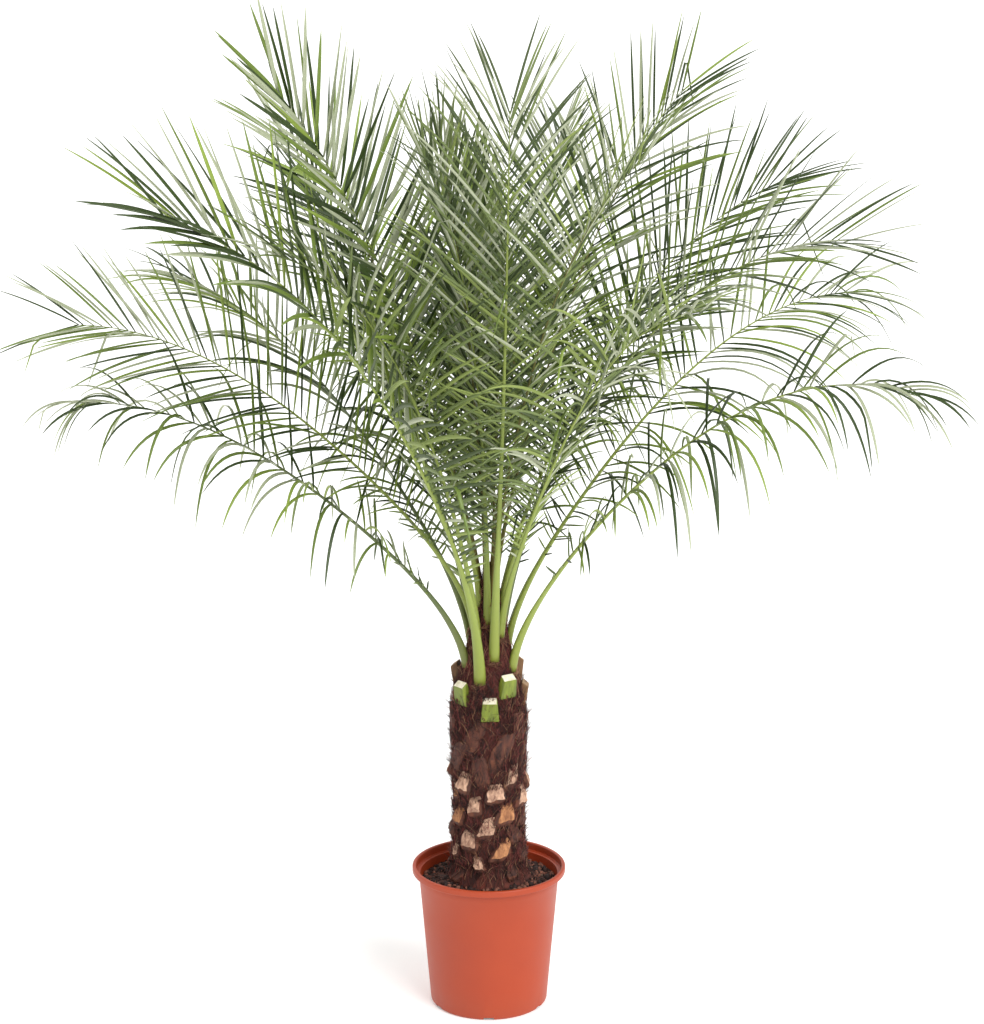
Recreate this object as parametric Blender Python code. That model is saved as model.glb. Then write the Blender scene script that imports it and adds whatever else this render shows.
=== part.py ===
"""A potted pygmy date palm: a nursery pot of soil, a trunk of old leaf bases, the stubs of cut leaf
stalks, and a crown of feather fronds. Stubs, fronds and the scales of the trunk all stand on one spiral.

The origin is the centre of the pot's flat underside, +Z is up, and lengths are in metres.
"""

import math
import random
from collections import namedtuple

import bmesh
import bpy
from mathutils import Matrix, Vector
from mathutils.bvhtree import BVHTree

UP = Vector((0, 0, 1))
SEAT_GAP = 0.0003  # between two pieces that touch
SHARP_FROM = math.radians(40)  # an edge that turns less is shaded smooth

# Pot: a thin plastic cone with a thick lip and slots at its foot that let water out.
POT_HEIGHT = 0.2235
POT_FOOT_RADIUS = 0.0915
POT_SHOULDER_RADIUS = 0.1100  # outside the wall, just under the lip
POT_LIP_RADIUS = 0.120
POT_LIP_HEIGHT = 0.011
POT_LIP_INSIDE = 0.114
POT_WALL = 0.002
POT_FLOOR = 0.003
POT_EDGE = 0.0015  # the rounding of the lip and the foot
POT_SIDES = 48
SLOT_COUNT = 6
SLOT_SIZE = (0.030, 0.016, 0.009)  # along the radius, across it, and high
SLOT_RADIUS = 0.088

# Soil: it fills the pot to a little below the rim, and rises towards the trunk.
SOIL_EDGE_HEIGHT = 0.197
GROUND = 0.2045  # the flat that the trunk stands on
SOIL_SEAT_RADIUS = 0.074
SOIL_SLOPE = ((0.094, 0.35), (0.083, 0.7))  # radius, and how far up the rise towards the trunk
SOIL_BUMP = 0.0012
SOIL_SIDES = 32

# The spiral that every leaf of the palm has grown on, counted from the lowest frond, number 0.
# Cut stubs and the scales of the trunk are older leaves, with numbers under 0, and the oldest,
# from when the palm was small, stand closest together.
SPIRAL_TURN = math.radians(-137.5)
SPIRAL_START = math.radians(252)
SPIRAL_HEIGHT = 0.530
SPIRAL_RISE = 0.0068
STUB_COUNT = 8
CROWDED_FROM = 20  # leaves older than this many stand closer together
CROWDED_RISE = 0.0044
SCALE_COUNT = 52

# Trunk and crown heart: height and radius of the core, from the flat cut on the soil to the tip.
TRUNK_PROFILE = (
    (GROUND + SEAT_GAP, 0.067),
    (0.212, 0.062),
    (0.232, 0.054),
    (0.300, 0.0500),
    (0.400, 0.0525),
    (0.460, 0.0540),
    (0.502, 0.0525),
    (0.527, 0.0470),
    (0.552, 0.0390),
    (0.587, 0.0300),
    (0.627, 0.0220),
    (0.662, 0.0160),
    (0.692, 0.0095),
    (0.712, 0.0045),
)
TRUNK_SIDES = 32
TRUNK_ROW = 0.0085  # height of one ring of faces where the scales are
SCALE_LIFT = 0.0055  # how far the lip of an old leaf base stands out of the trunk
SCALE_HALF_WIDTH = 0.015
SCALE_BELOW = 0.018
SCALE_ABOVE = 0.011
SCALE_ROUNDING = 1.5  # power of the fall towards a scale's sides

# Stubs: green stalks cut off short, on the shoulder of the trunk.
STUB_LENGTH = 0.036
STUB_LEAN = math.radians(14)
STUB_FOOT = (0.027, 0.014)  # width and thickness
STUB_END = (0.021, 0.010)

# Fronds.
ARCH_POWER = 3  # how much of the bend lies near the tip
FOOT_LEAN = 0.75  # a stalk leaves the trunk this much closer to upright than its lean
FOOT_REACH = 0.12  # and takes up its lean over this share of the rib
SPINE_STEPS = 40
FOOT_DEPTH = 0.004  # how far a stalk's midline starts inside the heart, before it is cut to fit
PETIOLE_SHARE = 0.26  # the bare stalk, as a share of the rib
PETIOLE_RINGS = 4
# Widths of a rib, as a share of its foot's, at shares of its length:
RIB_WIDTHS = ((0.0, 1.0), (0.08, 0.78), (0.16, 0.55), (0.26, 0.44), (0.6, 0.30), (1.0, 0.13))
FOOT_WIDTH_OLD = 0.020
FOOT_WIDTH_YOUNG = 0.009
RIB_THICKNESS = 0.62  # of its width
RIB_LEAST = 0.0022

# Leaflets: each stands for several of the real ones, and so is wider.
LEAFLET_PAIRS = 12
LEAFLET_LENGTH = 0.27  # the longest, for each metre of rib
LEAFLET_WIDTH = 0.015
LEAFLET_ROOT = 0.012  # along the rib
LEAFLET_THICKNESS = 0.0024
LEAFLET_LONGEST_AT = 0.42  # share of the leafy part of the rib
LEAFLET_LEAST_LOW = 0.36  # the lowest leaflet, as a share of the longest
LEAFLET_LEAST_HIGH = 0.62  # the one at the tip
LEAFLET_TAPER = 1.8  # power of the fall in length, away from the longest
LEAFLET_MIDDLE = 0.45  # where along itself a leaflet is widest
DROOP_EARLY = 0.18  # how much a leaflet of softness 1 turns down before its middle
DROOP_LATE = 0.75  # and beyond it
ANGLE_AT_FOOT = math.radians(60)
ANGLE_AT_TIP = math.radians(16)
ANGLE_POWER = 2  # how late, along the rib, the leaflets close in
RISE_OUT_OF_PLANE = math.radians(17)
CLEAR = 0.0012  # kept free round a leaflet
CLEAR_FROM = 0.05  # share of its length, so that leaflets of one rib may meet at their roots
FIRST_YOUNG = 21  # fronds from this one on are still opening
SEED = 7

# What is tried, in turn, where a leaflet would touch another frond:
# turned in the plane of the frond, lifted out of that plane, and length.
TRIALS = (
    (0, 0, 1.0), (7, 6, 1.0), (-7, -8, 1.0), (0, 16, 1.0), (12, -14, 0.95), (-12, 12, 0.9),
    (0, 0, 0.8), (8, 10, 0.75), (-8, -12, 0.7), (0, 22, 0.6), (0, 0, 0.5), (6, -10, 0.4),
)

GREEN = (0.16, 0.28, 0.07)
YOUNG_GREEN = (0.25, 0.33, 0.10)
STALK_GREEN = (0.27, 0.42, 0.10)
FIBRE_BROWN = (0.12, 0.07, 0.05)
SOIL_BROWN = (0.05, 0.03, 0.025)
TERRACOTTA = (0.66, 0.19, 0.09)

# The fronds from the oldest and lowest to the youngest, one on each step of the spiral. Swing is
# how far a frond turns round the trunk's axis on its way out, and lean and arch are its slope from
# upright and the bend added by its tip. Roll turns the blade round its rib, and all of these are in
# degrees. Length is that of the rib, softness is how much its leaflets hang, and opening is how far
# they have spread.
Frond = namedtuple("Frond", "swing lean arch roll length softness opening")
FRONDS = (
    Frond(-48, 28, 45, -40, 0.95, 0.5, 1.1),
    Frond(0, 44, 47, 15, 0.77, 1.1, 1.0),
    Frond(13, 40, 73, 25, 0.82, 1.35, 1.1),
    Frond(-18, 47, 48, -25, 0.75, 1.3, 1.0),
    Frond(0, 42, 50, -20, 0.79, 1.1, 1.0),
    Frond(-14, 15, 34, 0, 0.93, 0.7, 0.9),
    Frond(1, 40, 46, -10, 0.81, 0.9, 1.0),
    Frond(13, 38, 59, 40, 0.83, 1.0, 1.1),
    Frond(-7, 21, 56, -15, 0.78, 0.6, 1.0),
    Frond(0, 34, 50, -15, 0.81, 0.5, 1.0),
    Frond(-14, 28, 61, 15, 0.75, 0.9, 1.0),
    Frond(1, 45, 47, -50, 0.80, 0.5, 1.1),
    Frond(-27, 28, 44, 40, 0.84, 0.5, 1.0),
    Frond(-25, 8, 36, -20, 0.76, 0.4, 1.0),
    Frond(0, 32, 44, 20, 0.83, 0.4, 1.0),
    Frond(-5, 29, 66, 40, 0.83, 0.5, 1.1),
    Frond(-11, 18, 23, -62, 0.86, 0.2, 1.15),
    Frond(0, 25, 42, -20, 0.82, 0.4, 1.0),
    Frond(12, 19, 41, 20, 0.80, 0.4, 1.0),
    Frond(-7, 20, 35, -40, 0.78, 0.5, 1.0),
    Frond(7, 18, 30, 45, 0.83, 0.6, 1.0),
    Frond(-3, 9, 16, -15, 0.70, 0.4, 0.6),
    Frond(0, 6, 9, 0, 0.62, 0.3, 0.4),
    Frond(0, 2, 3, 0, 0.54, 0.2, 0.15),
)

Frame = namedtuple("Frame", "point along across upper")


def material(name, colour, roughness):
    made = bpy.data.materials.new(name)
    made.use_nodes = True
    shader = made.node_tree.nodes["Principled BSDF"]
    shader.inputs["Base Color"].default_value = (*colour, 1)
    shader.inputs["Roughness"].default_value = roughness
    shader.inputs["Metallic"].default_value = 0
    return made


def object_from(name, bm, finish):
    """Closes a bmesh into a named object of the scene."""
    bmesh.ops.recalc_face_normals(bm, faces=bm.faces)
    mesh = bpy.data.meshes.new(name)
    bm.to_mesh(mesh)
    bm.free()
    mesh.shade_smooth()
    mesh.set_sharp_from_angle(angle=SHARP_FROM)
    made = bpy.data.objects.new(name, mesh)
    bpy.context.scene.collection.objects.link(made)
    if finish:
        mesh.materials.append(finish)
    return made


def hide_cutter(cutter):
    cutter.hide_render = True
    cutter.display_type = "WIRE"


def cut(target, cutter, name):
    cutting = target.modifiers.new(name, "BOOLEAN")
    cutting.operation = "DIFFERENCE"
    cutting.object = cutter


def between(table, at):
    """The value at a place in a table of (place, value) pairs, along straight lines between them."""
    for (low, first), (high, second) in zip(table, table[1:]):
        if at <= high:
            share = max(0.0, (at - low) / (high - low))
            return first + (second - first) * share
    return table[-1][1]


def turned(bm, profile, sides):
    """Spins a profile of (radius, height) points, which starts and ends on the axis, into a closed body."""
    verts = [bm.verts.new((radius, 0, height)) for radius, height in profile]
    edges = [bm.edges.new(pair) for pair in zip(verts, verts[1:])]
    bmesh.ops.spin(
        bm, geom=verts + edges, cent=(0, 0, 0), axis=UP, angle=math.tau, steps=sides, use_merge=True
    )
    bmesh.ops.remove_doubles(bm, verts=bm.verts, dist=1e-6)


# Pot and soil -------------------------------------------------------------------------------------


def wall_radius(height):
    """Outside radius of the pot's plain wall."""
    share = height / (POT_HEIGHT - POT_LIP_HEIGHT)
    return POT_FOOT_RADIUS + (POT_SHOULDER_RADIUS - POT_FOOT_RADIUS) * share


def make_pot(finish):
    lip_foot = POT_HEIGHT - POT_LIP_HEIGHT
    outside = [
        (0, 0),
        (POT_FOOT_RADIUS - 2 * POT_EDGE, 0),
        (wall_radius(POT_EDGE), POT_EDGE),
        (POT_SHOULDER_RADIUS, lip_foot - POT_EDGE),
        (POT_LIP_RADIUS - POT_EDGE, lip_foot),
        (POT_LIP_RADIUS, lip_foot + POT_EDGE),
        (POT_LIP_RADIUS, POT_HEIGHT - POT_EDGE),
        (POT_LIP_RADIUS - POT_EDGE, POT_HEIGHT),
    ]
    inside = [
        (POT_LIP_INSIDE + POT_EDGE, POT_HEIGHT),
        (POT_LIP_INSIDE, POT_HEIGHT - POT_EDGE),
        (POT_LIP_INSIDE, lip_foot + POT_EDGE),
        (wall_radius(lip_foot - POT_EDGE) - POT_WALL, lip_foot - POT_EDGE),
        (wall_radius(POT_FLOOR) - POT_WALL, POT_FLOOR),
        (0, POT_FLOOR),
    ]
    bm = bmesh.new()
    turned(bm, outside + inside, POT_SIDES)
    pot = object_from("pot", bm, finish)

    bm = bmesh.new()
    for number in range(SLOT_COUNT):
        angle = math.tau * number / SLOT_COUNT - math.pi / 2
        box = bmesh.ops.create_cube(bm, size=1)["verts"]
        for vert in box:
            x, y, z = (part * size for part, size in zip(vert.co, SLOT_SIZE))
            vert.co = Vector((x + SLOT_RADIUS, y, z))
        bmesh.ops.rotate(bm, verts=box, cent=(0, 0, 0), matrix=Matrix.Rotation(angle, 3, UP))
    slots = object_from("slot_cutter", bm, None)
    hide_cutter(slots)
    cut(pot, slots, "drain slots")


def make_soil(finish):
    floor = POT_FLOOR + SEAT_GAP
    fit = POT_WALL + SEAT_GAP / math.cos(math.pi / POT_SIDES)
    edge_radius = (wall_radius(SOIL_EDGE_HEIGHT) - fit) * math.cos(math.pi / POT_SIDES)
    foot_radius = (wall_radius(floor) - fit) * math.cos(math.pi / POT_SIDES)
    rise = GROUND - SOIL_EDGE_HEIGHT
    profile = [(0, floor), (foot_radius, floor), (edge_radius, SOIL_EDGE_HEIGHT)]
    profile += [(radius, SOIL_EDGE_HEIGHT + rise * share) for radius, share in SOIL_SLOPE]
    profile += [(SOIL_SEAT_RADIUS, GROUND), (0, GROUND)]
    bm = bmesh.new()
    turned(bm, profile, SOIL_SIDES)
    dice = random.Random(SEED)
    for vert in bm.verts:
        if SOIL_SEAT_RADIUS + SOIL_BUMP < vert.co.xy.length < edge_radius - SOIL_BUMP:
            if vert.co.z > SOIL_EDGE_HEIGHT:
                vert.co.z += dice.uniform(-SOIL_BUMP, SOIL_BUMP)
    object_from("soil", bm, finish)


# Trunk --------------------------------------------------------------------------------------------


def spiral(number):
    """Azimuth and height of the leaf with this number."""
    crowded = max(0, -number - CROWDED_FROM)
    height = SPIRAL_HEIGHT + SPIRAL_RISE * (number + crowded) - CROWDED_RISE * crowded
    return SPIRAL_START + SPIRAL_TURN * number, height


def scale_lift(azimuth, height, radius):
    """How far the old leaf bases stand out at this place: each rises to a lip and drops behind it."""
    lift = 0.0
    for back in range(1, SCALE_COUNT + 1):
        scale_azimuth, scale_height = spiral(-STUB_COUNT - back)
        off = math.remainder(azimuth - scale_azimuth, math.tau) * radius / SCALE_HALF_WIDTH
        above = height - scale_height
        if abs(off) < 1 and -SCALE_BELOW < above < SCALE_ABOVE:
            ramp = (above + SCALE_BELOW) / (SCALE_ABOVE + SCALE_BELOW)
            lift = max(lift, SCALE_LIFT * ramp * (1 - abs(off) ** SCALE_ROUNDING))
    return lift


def trunk_heights():
    """Ring heights: close where there are scales, and at the profile's own points above them."""
    scales_end = spiral(-STUB_COUNT)[1] + SCALE_ABOVE
    first = TRUNK_PROFILE[0][0]
    rows = round((scales_end - first) / TRUNK_ROW)
    rings = [first + (scales_end - first) * row / rows for row in range(rows + 1)]
    return rings + [height for height, _ in TRUNK_PROFILE if height > scales_end + TRUNK_ROW / 2]


def trunk_body(name, finish, grow, scaly):
    """The trunk as rings bridged upwards. grow makes it thicker, and without scales it is a plain core."""
    bm = bmesh.new()
    rings = []
    for height in trunk_heights():
        radius = between(TRUNK_PROFILE, height)
        ring = []
        for side in range(TRUNK_SIDES):
            azimuth = math.tau * side / TRUNK_SIDES
            reach = radius + grow
            if scaly and height > TRUNK_PROFILE[0][0]:
                reach += scale_lift(azimuth, height, radius)
            ring.append(bm.verts.new((reach * math.cos(azimuth), reach * math.sin(azimuth), height)))
        rings.append([bm.edges.new((ring[side - 1], ring[side])) for side in range(TRUNK_SIDES)])
    for lower, upper in zip(rings, rings[1:]):
        bmesh.ops.bridge_loops(bm, edges=lower + upper)
    bmesh.ops.holes_fill(bm, edges=[edge for edge in bm.edges if edge.is_boundary], sides=0)
    return object_from(name, bm, finish)


# Stalks and fronds --------------------------------------------------------------------------------


def ring_corners(frame, width, thickness):
    """The four corners of a stalk's section: left and right above, then right and left below."""
    across = frame.across * width / 2
    upper = frame.upper * thickness / 2
    return [frame.point + x * across + y * upper for x, y in ((1, 1), (-1, 1), (-1, -1), (1, -1))]


def stalk_start(azimuth, height):
    radius = between(TRUNK_PROFILE, height) - FOOT_DEPTH
    return Vector((radius * math.cos(azimuth), radius * math.sin(azimuth), height))


def frame_for(point, azimuth, slope, roll=0.0):
    outward = Vector((math.cos(azimuth), math.sin(azimuth), 0))
    level = Vector((-math.sin(azimuth), math.cos(azimuth), 0))
    along = outward * math.sin(slope) + UP * math.cos(slope)
    across = level * math.cos(roll) + along.cross(level) * math.sin(roll)
    return Frame(point, along, across, along.cross(across))


def make_stub(number, finish, seat):
    """A leaf stalk cut off short, just above the trunk."""
    azimuth, height = spiral(-number)
    start = frame_for(stalk_start(azimuth, height), azimuth, STUB_LEAN)
    end = frame_for(start.point + start.along * STUB_LENGTH, azimuth, STUB_LEAN)
    bm = bmesh.new()
    foot = [bm.verts.new(corner) for corner in ring_corners(start, *STUB_FOOT)]
    top = [bm.verts.new(corner) for corner in ring_corners(end, *STUB_END)]
    bm.faces.new(reversed(foot))
    bm.faces.new(top)
    for corner in range(4):
        bm.faces.new((foot[corner - 1], foot[corner], top[corner], top[corner - 1]))
    cut(object_from(f"stub_{number}", bm, finish), seat, "seat")


def spine_of(number, frond):
    """Frames along the midline of a frond's rib, from its foot to its tip."""
    foot_azimuth, height = spiral(number)
    point = stalk_start(foot_azimuth, height)
    frames = []
    for step in range(SPINE_STEPS + 1):
        share = step / SPINE_STEPS
        early = 1 - (1 - share) ** 2
        azimuth = foot_azimuth + math.radians(frond.swing) * early
        leaning = frond.lean * (1 - FOOT_LEAN * math.exp(-share / FOOT_REACH))
        slope = math.radians(leaning + frond.arch * share**ARCH_POWER)
        frame = frame_for(point, azimuth, slope, math.radians(frond.roll) * early)
        frames.append(frame)
        point = point + frame.along * frond.length / SPINE_STEPS
    return frames


def frame_at(frames, share):
    place = min(max(share, 0.0), 1.0) * SPINE_STEPS
    low = min(int(place), SPINE_STEPS - 1)
    first, second = frames[low], frames[low + 1]
    point, along, across, upper = (one.lerp(two, place - low) for one, two in zip(first, second))
    return Frame(point, along.normalized(), across.normalized(), upper.normalized())


def rib_section(number, share):
    """Width and thickness of a frond's rib at a share of its length."""
    age = number / (len(FRONDS) - 1)
    foot = FOOT_WIDTH_OLD + (FOOT_WIDTH_YOUNG - FOOT_WIDTH_OLD) * age
    width = max(foot * between(RIB_WIDTHS, share), RIB_LEAST)
    return width, max(width * RIB_THICKNESS, RIB_LEAST)


def leaflet_length(place, frond):
    """Length of the leaflets at a place from 0, the lowest, to 1, the tip of the rib."""
    span = LEAFLET_LONGEST_AT if place < LEAFLET_LONGEST_AT else 1 - LEAFLET_LONGEST_AT
    away = abs(place - LEAFLET_LONGEST_AT) / span
    shortest = LEAFLET_LEAST_LOW if place < LEAFLET_LONGEST_AT else LEAFLET_LEAST_HIGH
    return LEAFLET_LENGTH * frond.length * (1 - (1 - shortest) * away**LEAFLET_TAPER)


def leaflet_path(frame, frond, place, side, trial):
    """A leaflet's middle and tip points, and its directions of width and thickness."""
    turn, lift, shrink = trial
    angle = ANGLE_AT_FOOT + (ANGLE_AT_TIP - ANGLE_AT_FOOT) * place**ANGLE_POWER
    angle = (angle + math.radians(turn)) * frond.opening
    rise = RISE_OUT_OF_PLANE + math.radians(lift)
    ahead = frame.along * math.cos(angle) + frame.across * (side * math.sin(angle))
    start = ahead * math.cos(rise) + frame.upper * math.sin(rise)
    width = side * ahead.cross(frame.upper).normalized()
    length = leaflet_length(place, frond) * shrink
    early = (start - UP * frond.softness * DROOP_EARLY).normalized()
    middle = frame.point + early * length * LEAFLET_MIDDLE
    late = (start - UP * frond.softness * DROOP_LATE).normalized()
    thick = side * width.cross(late).normalized()
    return middle, middle + late * length * (1 - LEAFLET_MIDDLE), width, thick


def blade_corners(path, grow=0.0):
    """The four corners of a leaflet at its widest: back and ahead above, then ahead and back below."""
    middle, _, width, thick = path
    thick = thick * (LEAFLET_THICKNESS / 2 + grow)
    half = width * (LEAFLET_WIDTH / 2 + grow)
    return [middle + x * half + y * thick for x, y in ((-1, 1), (1, 1), (1, -1), (-1, -1))]


def clearance_tree(corners, path):
    """A leaflet made slightly larger, as a tree of faces that finds what it would touch."""
    middle, tip, _, _ = path
    widest = blade_corners(path, CLEAR)
    narrow = []
    for corner, far in zip(corners, widest):
        out = (far - middle).normalized() * CLEAR
        narrow.append(corner.co.lerp(far, CLEAR_FROM) + out)
    points = narrow + widest + [tip + (tip - middle).normalized() * CLEAR]
    faces = [(0, 1, 2, 3)]
    for corner in range(4):
        after = (corner + 1) % 4
        faces += [(corner, after, 4 + after, 4 + corner), (4 + corner, 4 + after, 8)]
    return BVHTree.FromPolygons(points, faces)


def grow_rib(number, frond, frames):
    """Extrudes a rib ring by ring. Returns its bmesh and the side faces that leaflets grow from."""
    half_root = LEAFLET_ROOT / 2 / frond.length
    stations = [(PETIOLE_SHARE * ring / PETIOLE_RINGS, None) for ring in range(1, PETIOLE_RINGS)]
    for pair in range(LEAFLET_PAIRS):
        place = (pair + 0.5) / LEAFLET_PAIRS
        middle = PETIOLE_SHARE + (1 - PETIOLE_SHARE) * place
        stations += [(middle - half_root, None), (middle + half_root, place)]
    bm = bmesh.new()
    ring = [bm.verts.new(corner) for corner in ring_corners(frames[0], *rib_section(number, 0))]
    bm.faces.new(reversed(ring))
    roots = []
    for share, place in stations:
        corners = ring_corners(frame_at(frames, share), *rib_section(number, share))
        above = [bm.verts.new(corner) for corner in corners]
        sides = [
            bm.faces.new((ring[corner - 1], ring[corner], above[corner], above[corner - 1]))
            for corner in range(4)
        ]
        if place is not None:
            # The corners of a root go back and ahead above, then ahead and back below.
            roots.append((place, 1, sides[0], (ring[0], above[0], above[3], ring[3])))
            roots.append((place, -1, sides[2], (ring[1], above[1], above[2], ring[2])))
        ring = above
    tip = bm.verts.new(frames[-1].point)
    for corner in range(4):
        bm.faces.new((ring[corner - 1], ring[corner], tip))
    return bm, roots


def grow_leaflet(bm, root, path):
    """Draws a leaflet out of a root face: to its widest section, and on to its tip."""
    _, _, face, corners = root
    bm.faces.remove(face)
    middle = [bm.verts.new(corner) for corner in blade_corners(path)]
    tip = bm.verts.new(path[1])
    for corner in range(4):
        bm.faces.new((corners[corner - 1], corners[corner], middle[corner], middle[corner - 1]))
        bm.faces.new((middle[corner - 1], middle[corner], tip))


def leaf_out(frond, frames, bm, roots, others):
    """Grows each leaflet the first way of TRIALS that touches nothing. With no such way it is left out."""
    grown = []
    for root in roots:
        place, side, _, corners = root
        frame = frame_at(frames, PETIOLE_SHARE + (1 - PETIOLE_SHARE) * place)
        for trial in TRIALS:
            path = leaflet_path(frame, frond, place, side, trial)
            tree = clearance_tree(corners, path)
            if not any(tree.overlap(other) for other in others + grown):
                grow_leaflet(bm, root, path)
                grown.append(tree)
                break
    return BVHTree.FromBMesh(bm)


def main():
    for thing in list(bpy.data.objects):
        bpy.data.objects.remove(thing)
    make_pot(material("terracotta plastic", TERRACOTTA, 0.55))
    make_soil(material("soil", SOIL_BROWN, 0.95))
    trunk = trunk_body("trunk", material("old leaf bases", FIBRE_BROWN, 0.9), 0, True)
    seat = trunk_body("seat_cutter", None, SEAT_GAP, True)
    hide_cutter(seat)

    stalk = material("leaf stalk", STALK_GREEN, 0.5)
    for number in range(1, STUB_COUNT + 1):
        make_stub(number, stalk, seat)

    mature = material("leaf", GREEN, 0.45)
    young = material("young leaf", YOUNG_GREEN, 0.45)
    spines = [spine_of(number, frond) for number, frond in enumerate(FRONDS)]
    ribs = [grow_rib(number, frond, spines[number]) for number, frond in enumerate(FRONDS)]
    # Each leaflet keeps clear of the trunk, of every other rib, and of the fronds already finished.
    trees = [BVHTree.FromBMesh(bm) for bm, _ in ribs]
    trunk_tree = BVHTree.FromObject(trunk, bpy.context.evaluated_depsgraph_get())
    for number, frond in enumerate(FRONDS):
        bm, roots = ribs[number]
        others = trees[:number] + trees[number + 1 :] + [trunk_tree]
        trees[number] = leaf_out(frond, spines[number], bm, roots, others)
        finish = young if number >= FIRST_YOUNG else mature
        made = object_from(f"frond_{number + 1:02d}", bm, finish)
        cut(made, seat, "seat")


main()
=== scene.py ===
# %% [markdown]
# # Dressing a potted pygmy date palm
#
# The frame is a CAD model of the palm: a pot, soil, a trunk with scales, eight cut stalks, and 24
# fronds that are plain ribs with a dozen broad blades on each side. This notebook puts the real
# surface on it. Every frond is grown again with thirty to nearly sixty fine leaflets on each side,
# the trunk gets its old leaf bases and its matted fibre, and the pot and the soil get their relief.
#
# A palm is the same few shapes many times over, so each shape is modelled once by hand and then
# copied, bent and joined by rules. The rules are the ones the CAD model was grown by, so that the
# fine parts end up where the plain ones are.

import math
from collections import namedtuple

import bmesh
import bpy
import numpy as np
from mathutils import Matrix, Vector, noise


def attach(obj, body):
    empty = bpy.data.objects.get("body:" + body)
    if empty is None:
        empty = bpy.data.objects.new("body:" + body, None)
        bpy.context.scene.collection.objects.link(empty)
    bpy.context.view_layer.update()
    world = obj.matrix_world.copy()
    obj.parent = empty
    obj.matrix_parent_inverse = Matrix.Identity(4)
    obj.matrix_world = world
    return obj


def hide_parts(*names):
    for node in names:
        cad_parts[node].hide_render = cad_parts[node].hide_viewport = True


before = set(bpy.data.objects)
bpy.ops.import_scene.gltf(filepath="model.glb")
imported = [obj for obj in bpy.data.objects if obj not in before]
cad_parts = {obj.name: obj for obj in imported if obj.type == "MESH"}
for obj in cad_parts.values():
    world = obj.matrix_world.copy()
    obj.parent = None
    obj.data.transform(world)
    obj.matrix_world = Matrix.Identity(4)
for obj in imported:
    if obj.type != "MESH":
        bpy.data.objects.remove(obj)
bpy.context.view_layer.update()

# %% [markdown]
# ## The camera
#
# The camera comes first, because everything after it is judged through it. A plant this tall is
# usually pictured from a few metres away with a long lens, from a little above its middle, looking
# slightly down. A long lens keeps the pot and the top of the crown in proportion.

# %% Camera
EYE = (0.005, -3.6, 1.606)
LOOK_DOWN = math.radians(12.77)
LENS = 85.4

bpy.ops.object.camera_add(location=EYE, rotation=(math.pi / 2 - LOOK_DOWN, 0, 0))
camera = bpy.context.object
camera.name = "camera"
camera.data.lens = LENS
bpy.context.scene.camera = camera
print("camera", LENS, "mm,", -EYE[1], "m away")

# %% [markdown]
# ## Hands: the moves that every shape below is made with
#
# Blender's operators act on what is selected, and the frame's own nodes are selected after loading.
# So the first helper always clears the selection. `pick` selects points by their place, which is
# what clicking does in a window. `settle` leaves a finished shape at the origin with its place in
# its mesh. A pattern that reads object coordinates then stays where it is.

# %% Helpers for modelling by hand
MERGE = 1e-5  # points closer than this are one point


def deselect():
    """Goes back to object mode, with nothing selected."""
    if bpy.context.object and bpy.context.object.mode != "OBJECT":
        bpy.ops.object.mode_set(mode="OBJECT")
    bpy.ops.object.select_all(action="DESELECT")


def edit(shape):
    """Opens one shape in edit mode, with all of it selected."""
    deselect()
    bpy.context.view_layer.objects.active = shape
    shape.select_set(True)
    bpy.ops.object.mode_set(mode="EDIT")
    bpy.ops.mesh.select_mode(type="VERT")
    bpy.ops.mesh.select_all(action="SELECT")


def pick(test):
    """In edit mode, selects the points whose place passes a test, and what lies between them."""
    bpy.ops.mesh.select_all(action="DESELECT")
    mesh = bpy.context.object.data
    grown = bmesh.from_edit_mesh(mesh)
    for vert in grown.verts:
        vert.select_set(bool(test(vert.co)))
    grown.select_flush(True)
    bmesh.update_edit_mesh(mesh)


def on_row(at, reach=0.01):
    """A test for points of one row across a shape that lies along Y."""
    return lambda place: abs(place.y - at) < reach


def close_up():
    """In edit mode, merges doubled points, points all faces outwards, and goes back to object mode."""
    bpy.ops.mesh.select_all(action="SELECT")
    bpy.ops.mesh.remove_doubles(threshold=MERGE)
    bpy.ops.mesh.normals_make_consistent(inside=False)
    bpy.ops.object.mode_set(mode="OBJECT")


def settle(shape, name):
    """Names a shape, and puts its object at the origin, unturned and unscaled."""
    deselect()
    shape.select_set(True)
    bpy.context.view_layer.objects.active = shape
    bpy.ops.object.transform_apply(location=True, rotation=True, scale=True)
    shape.name = name
    shape.data.name = name
    return shape


def turned(name, profile, sides):
    """A turned body: one point is drawn along (radius, height) places, and the line is spun round."""
    deselect()
    radius, height = profile[0]
    bpy.ops.mesh.primitive_plane_add(size=0.01, location=(radius, 0, height))
    made = bpy.context.object
    bpy.ops.object.mode_set(mode="EDIT")
    bpy.ops.mesh.merge(type="CENTER")
    for radius_after, height_after in profile[1:]:
        step = (radius_after - radius, 0, height_after - height)
        bpy.ops.mesh.extrude_region_move(TRANSFORM_OT_translate={"value": step})
        radius, height = radius_after, height_after
    bpy.ops.mesh.select_all(action="SELECT")
    bpy.ops.mesh.spin(steps=sides, angle=math.tau, center=(0, 0, 0), axis=(0, 0, 1))
    close_up()
    return settle(made, name)


def points_of(mesh):
    flat = np.empty(len(mesh.vertices) * 3, np.float32)
    mesh.vertices.foreach_get("co", flat)
    return flat.reshape(-1, 3).astype(float)


def set_points(mesh, points):
    mesh.vertices.foreach_set("co", points.astype(np.float32).ravel())
    mesh.update()


print("helpers ready")
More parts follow.
